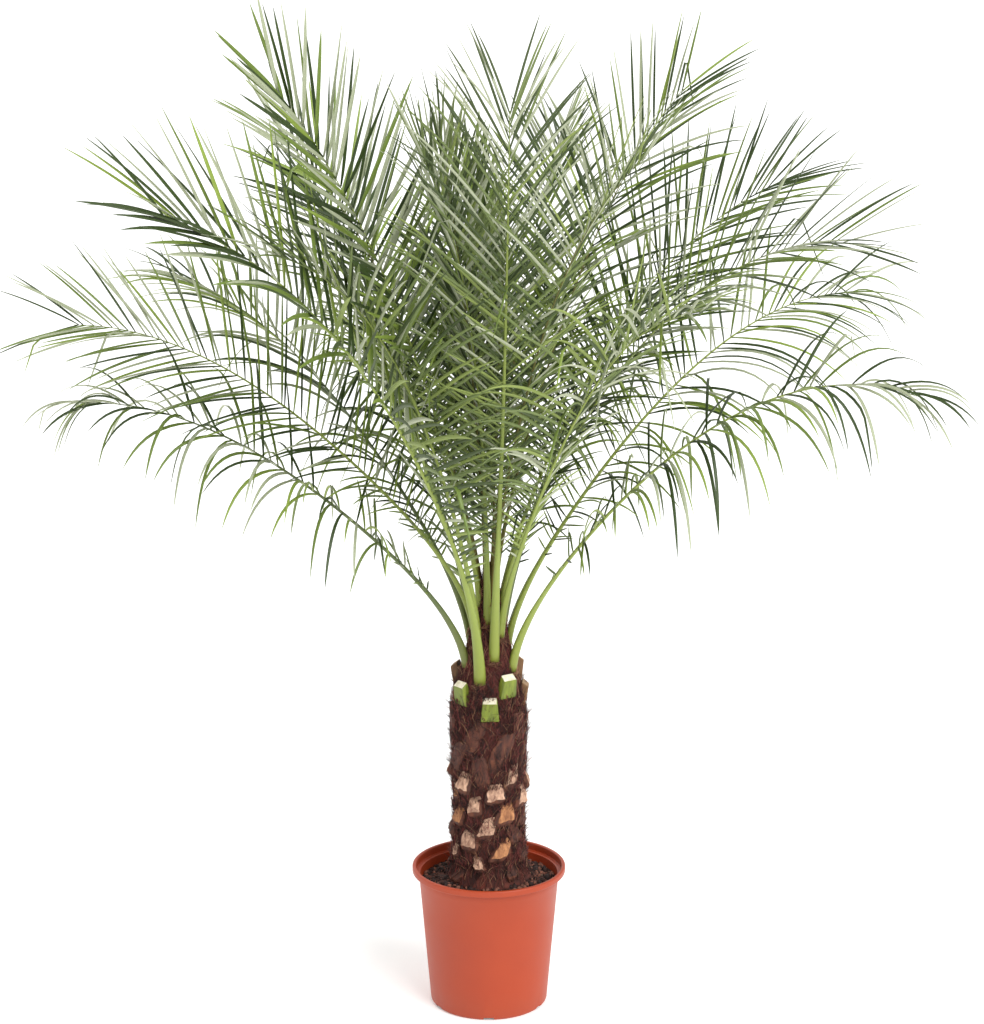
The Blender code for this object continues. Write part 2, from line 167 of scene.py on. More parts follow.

# %% [markdown]
# ## Copies: one shape, many times
#
# A modelled shape is taken apart into arrays. Copies of it are bent into place with numpy, and all
# copies of a kind become one mesh. That is far quicker than thousands of objects. Each face keeps
# the number of its finish, so a leaflet can have its own green, and each copy keeps a UV map that
# runs across and along the shape, so a pattern can follow it.

# %% Helpers for copies
Shape = namedtuple("Shape", "points faces finishes uvs")


def take_apart(made, across=0, along=1):
    """Reads a modelled shape into arrays and removes it. Its UVs are its places on two of its axes."""
    mesh = made.data
    points = points_of(mesh)
    faces = [tuple(face.vertices) for face in mesh.polygons]
    finishes = np.array([face.material_index for face in mesh.polygons])
    corners = [corner for face in faces for corner in face]
    uvs = points[corners][:, [across, along]]
    bpy.data.objects.remove(made)
    return Shape(points, faces, finishes, uvs)


def joined(name, shape, placed, finishes, chosen=None, sharp_from=None):
    """One piece from copies of a shape: placed holds each copy's points, chosen its faces' finishes."""
    copies, size = placed.shape[:2]
    starts = range(0, copies * size, size)
    faces = [tuple(start + corner for corner in face) for start in starts for face in shape.faces]
    mesh = bpy.data.meshes.new(name)
    mesh.from_pydata(placed.reshape(-1, 3).tolist(), [], faces)
    if chosen is None:
        chosen = np.tile(shape.finishes, (copies, 1))
    for finish in finishes:
        mesh.materials.append(finish)
    mesh.polygons.foreach_set("material_index", np.ravel(chosen).astype(np.int32))
    layer = mesh.uv_layers.new(name="along")
    layer.data.foreach_set("uv", np.tile(shape.uvs, (copies, 1)).astype(np.float32).ravel())
    mesh.shade_smooth()
    if sharp_from is not None:
        mesh.set_sharp_from_angle(angle=sharp_from)
    made = bpy.data.objects.new(name, mesh)
    bpy.context.scene.collection.objects.link(made)
    return made


def fit(piece, slot, *nodes):
    """Lets a finished piece move with the palm, and hides what it stands for. Its slot is not used."""
    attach(piece, "root")
    if nodes:
        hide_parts(*nodes)
    print(piece.name, len(piece.data.polygons), "faces")


def unit(vectors):
    return vectors / np.linalg.norm(vectors, axis=-1, keepdims=True)


print("copy helpers ready")

# %% [markdown]
# ## Effects that several finishes share
#
# Leaves, bark, fibre and plastic all have two things in common: the colour drifts between two
# tones, and the surface has a fine grain, often drawn out in one direction. Painting each by hand
# would not follow the small pieces, and an image would have to be made first. Noise needs neither,
# so both effects are node groups that are built once. Each finish sets their scale and stretch.

# %% Node groups: drifting tones, and grain
def put(tree, kind, inputs=None, **settings):
    """Adds a shader node, makes its settings, and sets or links its inputs."""
    made = tree.nodes.new("ShaderNode" + kind)
    for name, value in settings.items():
        setattr(made, name, value)
    for name, value in (inputs or {}).items():
        if isinstance(value, bpy.types.NodeSocket):
            tree.links.new(value, made.inputs[name])
        else:
            made.inputs[name].default_value = value
    return made


def new_group(name, inputs, outputs):
    """A node group with its sockets, and the nodes that stand for them inside."""
    group = bpy.data.node_groups.new(name, "ShaderNodeTree")
    for title, kind in inputs:
        group.interface.new_socket(title, in_out="INPUT", socket_type="NodeSocket" + kind)
    for title, kind in outputs:
        group.interface.new_socket(title, in_out="OUTPUT", socket_type="NodeSocket" + kind)
    return group, group.nodes.new("NodeGroupInput"), group.nodes.new("NodeGroupOutput")


def mixed(tree, share, start, end):
    """A colour that goes from start to end as share goes from 0 to 1."""
    # A Mix node keeps its colour sockets behind those for numbers and vectors.
    return put(tree, "Mix", {0: share, 6: start, 7: end}, data_type="RGBA").outputs[2]


PATTERN = [("Vector", "Vector"), ("Stretch", "Vector"), ("Scale", "Float")]


def stretched_noise(group, given, detail, roughness):
    """Noise inside a group, on the group's own Vector, Stretch and Scale."""
    places = {0: given.outputs["Vector"], 1: given.outputs["Stretch"]}
    drawn = put(group, "VectorMath", places, operation="MULTIPLY").outputs[0]
    scale = given.outputs["Scale"]
    made = put(group, "TexNoise", {"Vector": drawn, "Scale": scale, "Detail": detail, "Roughness": roughness})
    return made.outputs["Fac"]


def tones_group():
    """A colour that drifts between two tones, and a mask that says where it is light."""
    inputs = PATTERN + [("Dark", "Color"), ("Light", "Color")]
    group, given, made = new_group("drifting tones", inputs, [("Color", "Color"), ("Mask", "Float")])
    cloud = stretched_noise(group, given, detail=5.0, roughness=0.6)
    spread = put(group, "MapRange", {"Value": cloud, "From Min": 0.3, "From Max": 0.7}).outputs[0]
    colour = mixed(group, spread, given.outputs["Dark"], given.outputs["Light"])
    group.links.new(colour, made.inputs["Color"])
    group.links.new(spread, made.inputs["Mask"])
    return group


def grain_group():
    """The height of a fine grain, for a Bump node."""
    group, given, made = new_group("grain", PATTERN, [("Height", "Float")])
    fine = stretched_noise(group, given, detail=8.0, roughness=0.65)
    group.links.new(fine, made.inputs["Height"])
    return group


TONES = tones_group()
GRAIN = grain_group()
print("groups:", [group.name for group in bpy.data.node_groups])


# %% A finish from two tones and a grain
GRAIN_FINER = 3  # how many times finer the grain is than the drift of the colour


def shown(red, green, blue):
    """A colour as a screen shows it, 0 to 255, as the linear values that the shader takes."""
    values = [part / 255 for part in (red, green, blue)]
    return (*[part / 12.92 if part < 0.04 else ((part + 0.055) / 1.055) ** 2.4 for part in values], 1)


def finish(
    name, dark, light, scale, stretch=(1, 1, 1), rough=(0.5, 0.6), bump=0.3, depth=0.0005, follow=None
):
    """A finish whose colour drifts from dark to light, and whose roughness drifts with it.

    scale and stretch are those of the pattern. bump is the grain's strength and depth its height in
    metres. The pattern lies on object coordinates, or follows the UV map that is named."""
    made = bpy.data.materials.new(name)
    made.use_nodes = True
    tree = made.node_tree
    shader = tree.nodes["Principled BSDF"]
    if follow:
        place = put(tree, "UVMap", uv_map=follow).outputs["UV"]
    else:
        place = put(tree, "TexCoord").outputs["Object"]
    pattern = {"Vector": place, "Stretch": stretch}
    colours = {"Dark": shown(*dark), "Light": shown(*light)}
    tones = put(tree, "Group", {**pattern, "Scale": scale, **colours}, node_tree=TONES)
    grain = put(tree, "Group", {**pattern, "Scale": scale * GRAIN_FINER}, node_tree=GRAIN)
    gloss = put(tree, "MapRange", {"Value": tones.outputs["Mask"], "To Min": rough[0], "To Max": rough[1]})
    relief = put(tree, "Bump", {"Height": grain.outputs["Height"], "Strength": bump, "Distance": depth})
    tree.links.new(tones.outputs["Color"], shader.inputs["Base Color"])
    tree.links.new(gloss.outputs[0], shader.inputs["Roughness"])
    tree.links.new(relief.outputs["Normal"], shader.inputs["Normal"])
    return made


print("finishes can be mixed")

# %% [markdown]
# ## The spiral, and the fronds' curves
#
# A palm makes one leaf at a time, and each stands 137.5 degrees round the stem from the last, a
# little higher. The oldest frond is number 0 here. Cut stalks and the scales of the trunk are the
# leaves before it, with negative numbers. A frond leaves the heart steeply, takes up its lean, and
# then bends down by its own weight, most of all near its tip.
#
# The sizes below are those of the CAD model, so that both grow the same curves. Only the number of
# leaflets, and the sections of ribs and leaflets, are finer here.

# %% Sizes of the palm
UP = np.array([0.0, 0.0, 1.0])
GROUND = 0.2045  # the flat on the soil that the trunk stands on
SPIRAL_TURN = math.radians(-137.5)
SPIRAL_START = math.radians(252)
SPIRAL_HEIGHT = 0.530
SPIRAL_RISE = 0.0068
STUB_COUNT = 8
CROWDED_FROM = 20  # leaves older than this many stand closer
CROWDED_RISE = 0.0044
SCALE_COUNT = 52

# The stem's radius at its heights: a flare at the soil, the stem, the shoulder, and the heart.
TRUNK_HEIGHTS = (
    0.2048, 0.212, 0.232, 0.3, 0.4, 0.46, 0.502, 0.527, 0.552, 0.587, 0.627, 0.662, 0.692, 0.712,
)
TRUNK_RADII = (
    0.067, 0.062, 0.054, 0.05, 0.0525, 0.054, 0.0525, 0.047, 0.039, 0.03, 0.022, 0.016, 0.0095, 0.0045,
)
FOOT_DEPTH = 0.004  # how far inside the heart a rib's midline starts

ARCH_POWER = 3  # the arch gathers near the tip
FOOT_LEAN = 0.75  # share of its lean that a rib doesn't have yet at its foot
FOOT_REACH = 0.12  # share of its length in which it takes up most of that
SPINE_STEPS = 40
PETIOLE_SHARE = 0.26  # the bare stalk, as a share of the rib

# Of each frond: how far it swings round, leans and arches over, and how far its blade has rolled at
# its tip, in degrees, the rib's length in metres, how soft its leaflets are, and how far they stand open.
Frond = namedtuple("Frond", "swing lean arch roll length softness opening")
FRONDS = (
    Frond(-48, 28, 45, -40, 0.95, 0.5, 1.1),
    Frond(0, 44, 47, 15, 0.77, 1.1, 1.0),
    Frond(13, 40, 73, 25, 0.82, 1.35, 1.1),
    Frond(-18, 47, 48, -25, 0.75, 1.3, 1.0),
    Frond(0, 42, 50, -20, 0.79, 1.1, 1.0),
    Frond(-14, 15, 34, 0, 0.93, 0.7, 0.9),
    Frond(1, 40, 46, -10, 0.81, 0.9, 1.0),
    Frond(13, 38, 59, 40, 0.83, 1.0, 1.1),
    Frond(-7, 21, 56, -15, 0.78, 0.6, 1.0),
    Frond(0, 34, 50, -15, 0.81, 0.5, 1.0),
    Frond(-14, 28, 61, 15, 0.75, 0.9, 1.0),
    Frond(1, 45, 47, -50, 0.80, 0.5, 1.1),
    Frond(-27, 28, 44, 40, 0.84, 0.5, 1.0),
    Frond(-25, 8, 36, -20, 0.76, 0.4, 1.0),
    Frond(0, 32, 44, 20, 0.83, 0.4, 1.0),
    Frond(-5, 29, 66, 40, 0.83, 0.5, 1.1),
    Frond(-11, 18, 23, -62, 0.86, 0.2, 1.15),
    Frond(0, 25, 42, -20, 0.82, 0.4, 1.0),
    Frond(12, 19, 41, 20, 0.80, 0.4, 1.0),
    Frond(-7, 20, 35, -40, 0.78, 0.5, 1.0),
    Frond(7, 18, 30, 45, 0.83, 0.6, 1.0),
    Frond(-3, 9, 16, -15, 0.70, 0.4, 0.6),
    Frond(0, 6, 9, 0, 0.62, 0.3, 0.4),
    Frond(0, 2, 3, 0, 0.54, 0.2, 0.15),
)
FIRST_YOUNG = 21  # fronds from this one on are still opening
print(len(FRONDS), "fronds, the longest rib", max(frond.length for frond in FRONDS), "m")


# %% The rule that they grow by
Frames = namedtuple("Frames", "point along across upper")


def spiral(number):
    """Azimuth and height of the leaf with this number."""
    crowded = max(0, -number - CROWDED_FROM)
    height = SPIRAL_HEIGHT + SPIRAL_RISE * (number + crowded) - CROWDED_RISE * crowded
    return SPIRAL_START + SPIRAL_TURN * number, height


def trunk_radius(height):
    return np.interp(height, TRUNK_HEIGHTS, TRUNK_RADII)


def around(azimuth, radius, height):
    """Places round the trunk's axis."""
    flat = np.broadcast_arrays(radius * np.cos(azimuth), radius * np.sin(azimuth), height)
    return np.stack(flat, -1)


def frames_for(point, azimuth, slope, roll):
    """Directions along, across and above a stalk that heads one way at a slope from upright."""
    azimuth, slope, roll = (np.atleast_1d(angle)[:, None] for angle in (azimuth, slope, roll))
    outward = np.hstack([np.cos(azimuth), np.sin(azimuth), 0 * azimuth])
    level = np.hstack([-np.sin(azimuth), np.cos(azimuth), 0 * azimuth])
    along = outward * np.sin(slope) + UP * np.cos(slope)
    across = level * np.cos(roll) + np.cross(along, level) * np.sin(roll)
    return Frames(point, along, across, np.cross(along, across))


def spine_of(number, frond):
    """Frames along the midline of a frond's rib, from its foot to its tip."""
    azimuth, height = spiral(number)
    share = np.linspace(0, 1, SPINE_STEPS + 1)
    early = 1 - (1 - share) ** 2
    heading = azimuth + math.radians(frond.swing) * early
    leaning = frond.lean * (1 - FOOT_LEAN * np.exp(-share / FOOT_REACH))
    slope = np.radians(leaning + frond.arch * share**ARCH_POWER)
    frames = frames_for(None, heading, slope, math.radians(frond.roll) * early)
    foot = around(azimuth, trunk_radius(height) - FOOT_DEPTH, height)
    walked = np.cumsum(frames.along[:-1], axis=0) * frond.length / SPINE_STEPS
    return frames._replace(point=np.vstack([foot, foot + walked]))


def frames_at(frames, shares):
    """Frames at some shares of a spine's length."""
    steps = np.linspace(0, 1, SPINE_STEPS + 1)
    found = [np.stack([np.interp(shares, steps, part[:, axis]) for axis in range(3)], -1) for part in frames]
    return Frames(found[0], *[unit(part) for part in found[1:]])


SPINES = [spine_of(number, frond) for number, frond in enumerate(FRONDS)]
print("highest rib point:", round(max(spine.point[:, 2].max() for spine in SPINES), 3), "m")

# %% [markdown]
# ## The pot
#
# A nursery pot is moulded from thin terracotta-coloured plastic: a plain cone with a rolled lip,
# a shallow step under it that stops stacked pots from jamming, and slots at its foot that let water
# out. A turned profile gives all of it but the slots. The lip's edges are then bevelled, because
# a moulded edge is round and catches the light, and a Boolean cuts the slots, as the tool does.

# %% Pot: profile, bevel, slots
POT_HEIGHT = 0.2235
POT_FOOT_RADIUS = 0.0915
POT_SHOULDER_RADIUS = 0.1100
POT_LIP_RADIUS = 0.120
POT_LIP_HEIGHT = 0.011
POT_LIP_INSIDE = 0.114
POT_WALL = 0.002
POT_FLOOR = 0.003
POT_SIDES = 144
POT_SHARP = math.radians(35)  # edges sharper than this stay sharp
STEP_HEIGHT = 0.0105  # the stacking step under the lip
STEP_OUT = 0.0012
STEP_SLOPE = 0.002  # height over which the wall runs out to the step
STEP_FLARE = 0.0005
FLOOR_RING = 0.05  # radius of a ring in the floor
WALL_RINGS = (0.05, 0.1, 0.15)  # heights of the rings up the wall
FOOT_EDGE = 0.003  # how far the edge of the foot is cut back, before it is rounded
FOOT_ROUNDING = 0.0015
LIP_RISE = 0.001  # how much higher the lip's lower edge is outside
LIP_ROUNDING = 0.0018
SLOT_COUNT = 6
SLOT_SIZE = (0.030, 0.016, 0.009)
SLOT_RADIUS = 0.088


def wall_radius(height):
    """Outside radius of the pot's plain wall."""
    share = height / (POT_HEIGHT - POT_LIP_HEIGHT)
    return POT_FOOT_RADIUS + (POT_SHOULDER_RADIUS - POT_FOOT_RADIUS) * share


def on_wall(height, inwards=0):
    """A point of the pot's profile on its plain wall, or that far inside it."""
    return wall_radius(height) - inwards, height


def on_ring(radius, height, reach=0.0008):
    """A test for points of one ring of a turned body."""
    return lambda place: abs(place.xy.length - radius) < reach and abs(place.z - height) < reach


def make_pot():
    lip_foot = POT_HEIGHT - POT_LIP_HEIGHT
    lip_corners = [(POT_LIP_RADIUS, lip_foot + LIP_RISE), (POT_LIP_RADIUS, POT_HEIGHT)]
    lip_corners += [(POT_LIP_INSIDE, POT_HEIGHT)]
    step_foot = lip_foot - STEP_HEIGHT
    step_radius = wall_radius(step_foot) + STEP_OUT
    profile = [(0, 0), (FLOOR_RING, 0), (POT_FOOT_RADIUS - FOOT_EDGE, 0), on_wall(FOOT_EDGE)]
    profile += [on_wall(height) for height in WALL_RINGS]
    profile += [on_wall(step_foot - STEP_SLOPE), (step_radius, step_foot)]
    profile += [(step_radius + STEP_FLARE, lip_foot - STEP_FLARE), *lip_corners]
    profile += [(POT_LIP_INSIDE, lip_foot), on_wall(lip_foot - STEP_SLOPE, POT_WALL)]
    profile += [on_wall(height, POT_WALL) for height in (*reversed(WALL_RINGS), POT_FLOOR)]
    pot = turned("nursery_pot", profile + [(0, POT_FLOOR)], POT_SIDES)

    edit(pot)
    for radius, height in lip_corners:
        pick(on_ring(radius, height))
        bpy.ops.mesh.bevel(offset=LIP_ROUNDING, segments=3)
    pick(on_ring(*on_wall(FOOT_EDGE)))
    bpy.ops.mesh.bevel(offset=FOOT_ROUNDING, segments=2)
    bpy.ops.object.mode_set(mode="OBJECT")
    return pot


def cut_slots(pot):
    """Six slots, cut where the wall meets the floor, as one Boolean."""
    deselect()
    cutters = []
    for number in range(SLOT_COUNT):
        angle = math.tau * number / SLOT_COUNT - math.pi / 2
        place = (SLOT_RADIUS * math.cos(angle), SLOT_RADIUS * math.sin(angle), 0)
        bpy.ops.mesh.primitive_cube_add(size=1, location=place, rotation=(0, 0, angle), scale=SLOT_SIZE)
        cutters.append(bpy.context.object)
    for cutter in cutters:
        cutter.select_set(True)
    bpy.ops.object.join()
    joint = settle(bpy.context.object, "slot_cutters")
    boolean = pot.modifiers.new("slots", "BOOLEAN")
    boolean.operation = "DIFFERENCE"
    boolean.object = joint
    deselect()
    bpy.context.view_layer.objects.active = pot
    bpy.ops.object.modifier_apply(modifier="slots")
    bpy.data.objects.remove(joint)


pot = make_pot()
cut_slots(pot)
pot.data.shade_smooth()
pot.data.set_sharp_from_angle(angle=POT_SHARP)
print("pot faces:", len(pot.data.polygons))

# %% [markdown]
# The plastic is matt with a soft gloss. Its colour drifts a little because the pigment is not mixed
# perfectly, and a thin dust of dried soil lies near the foot, where splashed water leaves it. The
# dust is a group of its own that reads the height on the pot.

# %% Pot: finish
def dust_group():
    """A mask for dust that gathers below one height and fades out above it."""
    places = [("Vector", "Vector"), ("Height", "Float"), ("Fade", "Float"), ("Amount", "Float")]
    group, given, made = new_group("dust", places, [("Mask", "Float")])
    axes = put(group, "SeparateXYZ", {"Vector": given.outputs["Vector"]})
    spots = put(group, "TexNoise", {"Vector": given.outputs["Vector"], "Scale": 55.0, "Detail": 6.0})

    def math_of(operation, first, second, **settings):
        return put(group, "Math", {0: first, 1: second}, operation=operation, **settings).outputs[0]

    under = math_of("SUBTRACT", given.outputs["Height"], axes.outputs["Z"])
    faded = math_of("DIVIDE", under, given.outputs["Fade"], use_clamp=True)
    patchy = math_of("MULTIPLY", faded, spots.outputs["Fac"])
    group.links.new(math_of("MULTIPLY", patchy, given.outputs["Amount"]), made.inputs["Mask"])
    return group


DUST = dust_group()


def add_dust(material, height, fade, amount, colour):
    """Lays dust over a finish that is already made, low down on the piece."""
    tree = material.node_tree
    shader = tree.nodes["Principled BSDF"]
    clean = shader.inputs["Base Color"].links[0].from_socket
    place = next(node for node in tree.nodes if node.type == "TEX_COORD").outputs["Object"]
    where = {"Vector": place, "Height": height, "Fade": fade, "Amount": amount}
    mask = put(tree, "Group", where, node_tree=DUST).outputs["Mask"]
    tree.links.new(mixed(tree, mask, clean, shown(*colour)), shader.inputs["Base Color"])


PLASTIC = finish(
    "terracotta plastic", (160, 54, 15), (168, 60, 20), 9, rough=(0.42, 0.52), bump=0.12, depth=0.0002
)
add_dust(PLASTIC, height=0.05, fade=0.05, amount=0.25, colour=(150, 84, 58))
pot.data.materials.append(PLASTIC)
fit(pot, "pot", "pot")

# %% [markdown]
# ## The soil
#
# Potting mix is dark, damp and crumbly, with bark, fibre and the odd pale chip in it. It lies a
# little below the rim, lower at the wall and heaped towards the trunk. A turned body gives the
# heap and fills the pot, and noise moves its surface. Loose crumbs and chips lie on top as small
# meshes of their own, because in a pot seen from above it is the loose pieces that show.

# %% Soil: the heap
SOIL_EDGE_HEIGHT = 0.197
SOIL_RINGS = 34
SOIL_SIDES = 150
SOIL_HUB = 0.02  # radius of the innermost ring, which the trunk hides
SOIL_GAP = 0.0003  # between the soil and the pot
HEAP_EDGE = 0.105  # radius at which the soil starts to rise
HEAP_TOP = 0.062  # and radius at which it is as high as the trunk's foot
LUMP_SIZE = 0.012
LUMP_REACH = 0.0032
CRUST_SIZE = 0.004
CRUST_REACH = 0.0012
RING_MARGIN = 0.0005  # less than the distance between two rings


def soil_height(radius):
    """The heap's height at a radius: it rises in an S from the wall to the trunk."""
    share = np.clip((HEAP_EDGE - radius) / (HEAP_EDGE - HEAP_TOP), 0, 1)
    return SOIL_EDGE_HEIGHT + (GROUND - SOIL_EDGE_HEIGHT) * share * share * (3 - 2 * share)


def roughened(points, size, reach, seed):
    """Noise for each point, from -reach to reach, with lumps of about one size."""
    shift = Vector((seed, seed / 2, seed / 3))
    # The last three values: each finer layer is half as strong, twice as fine, and there are four.
    return np.array([noise.fractal(Vector(point) / size + shift, 1.0, 2.0, 4) for point in points]) * reach


def make_soil():
    floor = POT_FLOOR + SOIL_GAP
    edge = wall_radius(SOIL_EDGE_HEIGHT) - POT_WALL - SOIL_GAP
    foot = wall_radius(floor) - POT_WALL - SOIL_GAP
    radii = np.linspace(edge, SOIL_HUB, SOIL_RINGS)
    top = [(radius, float(soil_height(radius))) for radius in radii]
    soil = turned("potting_soil", [(0, floor), (foot, floor)] + top + [(0, GROUND)], SOIL_SIDES)
    points = points_of(soil.data)
    radius = np.hypot(points[:, 0], points[:, 1])
    loose = (points[:, 2] > SOIL_EDGE_HEIGHT - RING_MARGIN) & (radius < edge - RING_MARGIN)
    lumps = roughened(points[loose], LUMP_SIZE, LUMP_REACH, seed=3.0)
    crust = roughened(points[loose], CRUST_SIZE, CRUST_REACH, seed=8.0)
    points[loose, 2] += lumps + crust
    set_points(soil.data, points)
    soil.data.shade_smooth()
    return soil


soil = make_soil()
SOIL = finish("damp soil", (30, 14, 10), (98, 54, 40), 90, rough=(0.8, 0.95), bump=0.9, depth=0.0015)
soil.data.materials.append(SOIL)
fit(soil, "soil", "soil")


# %% Soil: crumbs and chips
CRUMB_COUNT = 2200
CRUMB_LEAST = 0.0018
CRUMB_SPREAD = 0.0085
CRUMB_POWER = 4  # most crumbs are small
CRUMB_STRETCH = (0.6, 1.3)
CRUMB_HEIGHTS = (-0.001, 0.0022)  # of their middles over the heap
CRUMBS_FROM = 0.060
CRUMBS_TO = 0.1035
DARK_SHARE = 0.68
CHIP_COUNT = 70
CHIP_LEAST = 0.0015
CHIP_SPREAD = 0.002


def crumb_shape():
    deselect()
    bpy.ops.mesh.primitive_ico_sphere_add(subdivisions=1, radius=0.5, location=(0, 0, 0))
    return take_apart(settle(bpy.context.object, "crumb"))


def scattered(shape, places, sizes, seed):
    """Copies of a shape at some places, each stretched and turned its own way."""
    dice = np.random.default_rng(seed)
    turns = np.linalg.qr(dice.normal(size=(len(places), 3, 3)))[0]
    stretch = sizes[:, None] * dice.uniform(*CRUMB_STRETCH, (len(places), 3))
    stretched = shape.points[None] * stretch[:, None, :]
    return np.einsum("nij,nvj->nvi", turns, stretched) + places[:, None, :]


def on_soil(count, seed):
    """Random places on the heap, between the trunk and the wall."""
    dice = np.random.default_rng(seed)
    radius = np.sqrt(dice.uniform(CRUMBS_FROM**2, CRUMBS_TO**2, count))
    azimuth = dice.uniform(0, math.tau, count)
    return around(azimuth, radius, soil_height(radius) + dice.uniform(*CRUMB_HEIGHTS, count))


CRUMB = crumb_shape()
dice = np.random.default_rng(5)
crumb_places = on_soil(CRUMB_COUNT, seed=11)
crumb_sizes = CRUMB_LEAST + CRUMB_SPREAD * dice.random(CRUMB_COUNT) ** CRUMB_POWER
BROWN_CRUMB = finish("brown crumb", (58, 30, 24), (150, 96, 76), 220, rough=(0.8, 0.95), bump=0.8)
DARK_CRUMB = finish("dark crumb", (26, 13, 10), (54, 29, 22), 160, rough=(0.75, 0.9), bump=0.8)
PALE_CHIP = finish("pale chip", (150, 120, 92), (206, 180, 148), 120, rough=(0.7, 0.85), bump=0.5)
dark = np.repeat((dice.random(CRUMB_COUNT) < DARK_SHARE)[:, None], len(CRUMB.faces), 1)
loose_crumbs = scattered(CRUMB, crumb_places, crumb_sizes, seed=2)
crumbs = joined("soil_crumbs", CRUMB, loose_crumbs, [BROWN_CRUMB, DARK_CRUMB], dark)
fit(crumbs, "soil")
chip_sizes = CHIP_LEAST + CHIP_SPREAD * dice.random(CHIP_COUNT)
loose_chips = scattered(CRUMB, on_soil(CHIP_COUNT, seed=12), chip_sizes, seed=3)
chips = joined("pale_chips", CRUMB, loose_chips, [PALE_CHIP])
fit(chips, "soil")

# %% [markdown]
# ## The trunk
#
# A date palm has no bark. Its stem is hidden by the bases of its old leaves, which stay when the
# stalks are cut, and by the brown fibre of their sheaths. On a young potted palm the lowest bases
# are cut close, so that each shows a pale end like a diamond. Above them they are still wrapped in
# fibre, and just under the crown it is one reddish mat.
#
# So the trunk is built as it grows, in layers: a core that carries the relief, the leaf bases on
# their spiral, and thousands of strands. A height map on a plain cylinder would be quicker, but its
# outline would be smooth, and on a palm the ragged outline is what shows first.

# %% Trunk: the core
CORE_SIDES = 128
CORE_ROWS = 120
CORE_INSET = 0.001  # how far its plain surface lies inside the stem's radius
CORE_TIP = 0.001  # height of the point on top of it
SCALE_HALF_WIDTH = 0.015
SCALE_BELOW = 0.018
SCALE_ABOVE = 0.011
SCALE_LIFT = 0.003
SCALE_POWER = 1.5  # how round a scale is from side to side
RIDGE_SIZE = 0.004  # fine ridges, four times as long as they are wide
RIDGE_REACH = 0.0011
SWELL_SIZE = 0.02
SWELL_REACH = 0.0012
NARROWEST = 0.004  # a radius under which relief no longer grows


def scale_relief(azimuth, height):
    """How far the old leaf bases lift the core's surface at each place."""
    lift = np.zeros(len(azimuth))
    for back in range(1, SCALE_COUNT + 1):
        scale_azimuth, scale_height = spiral(-STUB_COUNT - back)
        turn = (azimuth - scale_azimuth + math.pi) % math.tau - math.pi
        off = np.abs(turn) * trunk_radius(height) / SCALE_HALF_WIDTH
        above = height - scale_height
        near = (off < 1) & (above > -SCALE_BELOW) & (above < SCALE_ABOVE)
        ramp = (above + SCALE_BELOW) / (SCALE_ABOVE + SCALE_BELOW)
        lift = np.maximum(lift, np.where(near, ramp * (1 - np.minimum(off, 1) ** SCALE_POWER), 0))
    return lift


def make_core():
    heights = np.linspace(TRUNK_HEIGHTS[0], TRUNK_HEIGHTS[-1], CORE_ROWS)
    profile = [(0, heights[0])] + [(float(trunk_radius(height)), height) for height in heights]
    core = turned("trunk_core", profile + [(0, heights[-1] + CORE_TIP)], CORE_SIDES)
    points = points_of(core.data)
    radius = np.hypot(points[:, 0], points[:, 1])
    side = (radius > RING_MARGIN) & (points[:, 2] > heights[0])
    azimuth = np.arctan2(points[:, 1], points[:, 0])
    lift = SCALE_LIFT * scale_relief(azimuth, points[:, 2])
    ridges = roughened(points * [1, 1, 0.25], RIDGE_SIZE, RIDGE_REACH, seed=1.0)
    lift += ridges + roughened(points, SWELL_SIZE, SWELL_REACH, seed=5.0)
    scale = np.where(side, 1 + (lift - CORE_INSET) / np.maximum(radius, NARROWEST), 1)
    points[:, :2] *= scale[:, None]
    set_points(core.data, points)
    core.data.shade_smooth()
    return core


core = make_core()
MAT = finish("matted fibre", (40, 18, 14), (108, 52, 40), 70, (1, 1, 0.25), (0.85, 0.95), 0.9, 0.002)
core.data.materials.append(MAT)
fit(core, "trunk", "trunk")

# %% [markdown]
# A leaf base is a wedge: it grows thicker from its foot to a lip, and there the cut slopes back to
# the stem. Seen from outside it is a diamond, brown and fibrous below, and pale on the cut. One is
# shaped from a grid, row by row, and given its depth by one extrude. Its copies are wrapped round
# the trunk. Low ones are cut close and pale, high ones are longer and brown all over.

# %% Trunk: one leaf base
BASE_ROWS = 8
BASE_COLUMNS = 8
BASE_WIDTHS = (0.35, 0.70, 0.92, 1.0, 1.0, 0.97, 0.92, 0.84, 0.62)  # of each row, from the foot up
BASE_HEIGHTS = (0.0, 0.45, 0.88, 1.0, 0.88, 0.74, 0.58, 0.40, 0.18)  # how far each row stands out
BASE_DEPTH = 1.0  # how far it reaches into the stem
LIP_ROW = 3
RIM_DROP = 0.28  # how much lower its two sides lie
RIM_FROM = 0.80  # share of the half width beyond which the cut shows skin


def base_row(up):
    """The row at a height from -1 to 1, counted from the foot."""
    return (up + 1) * BASE_ROWS / 2


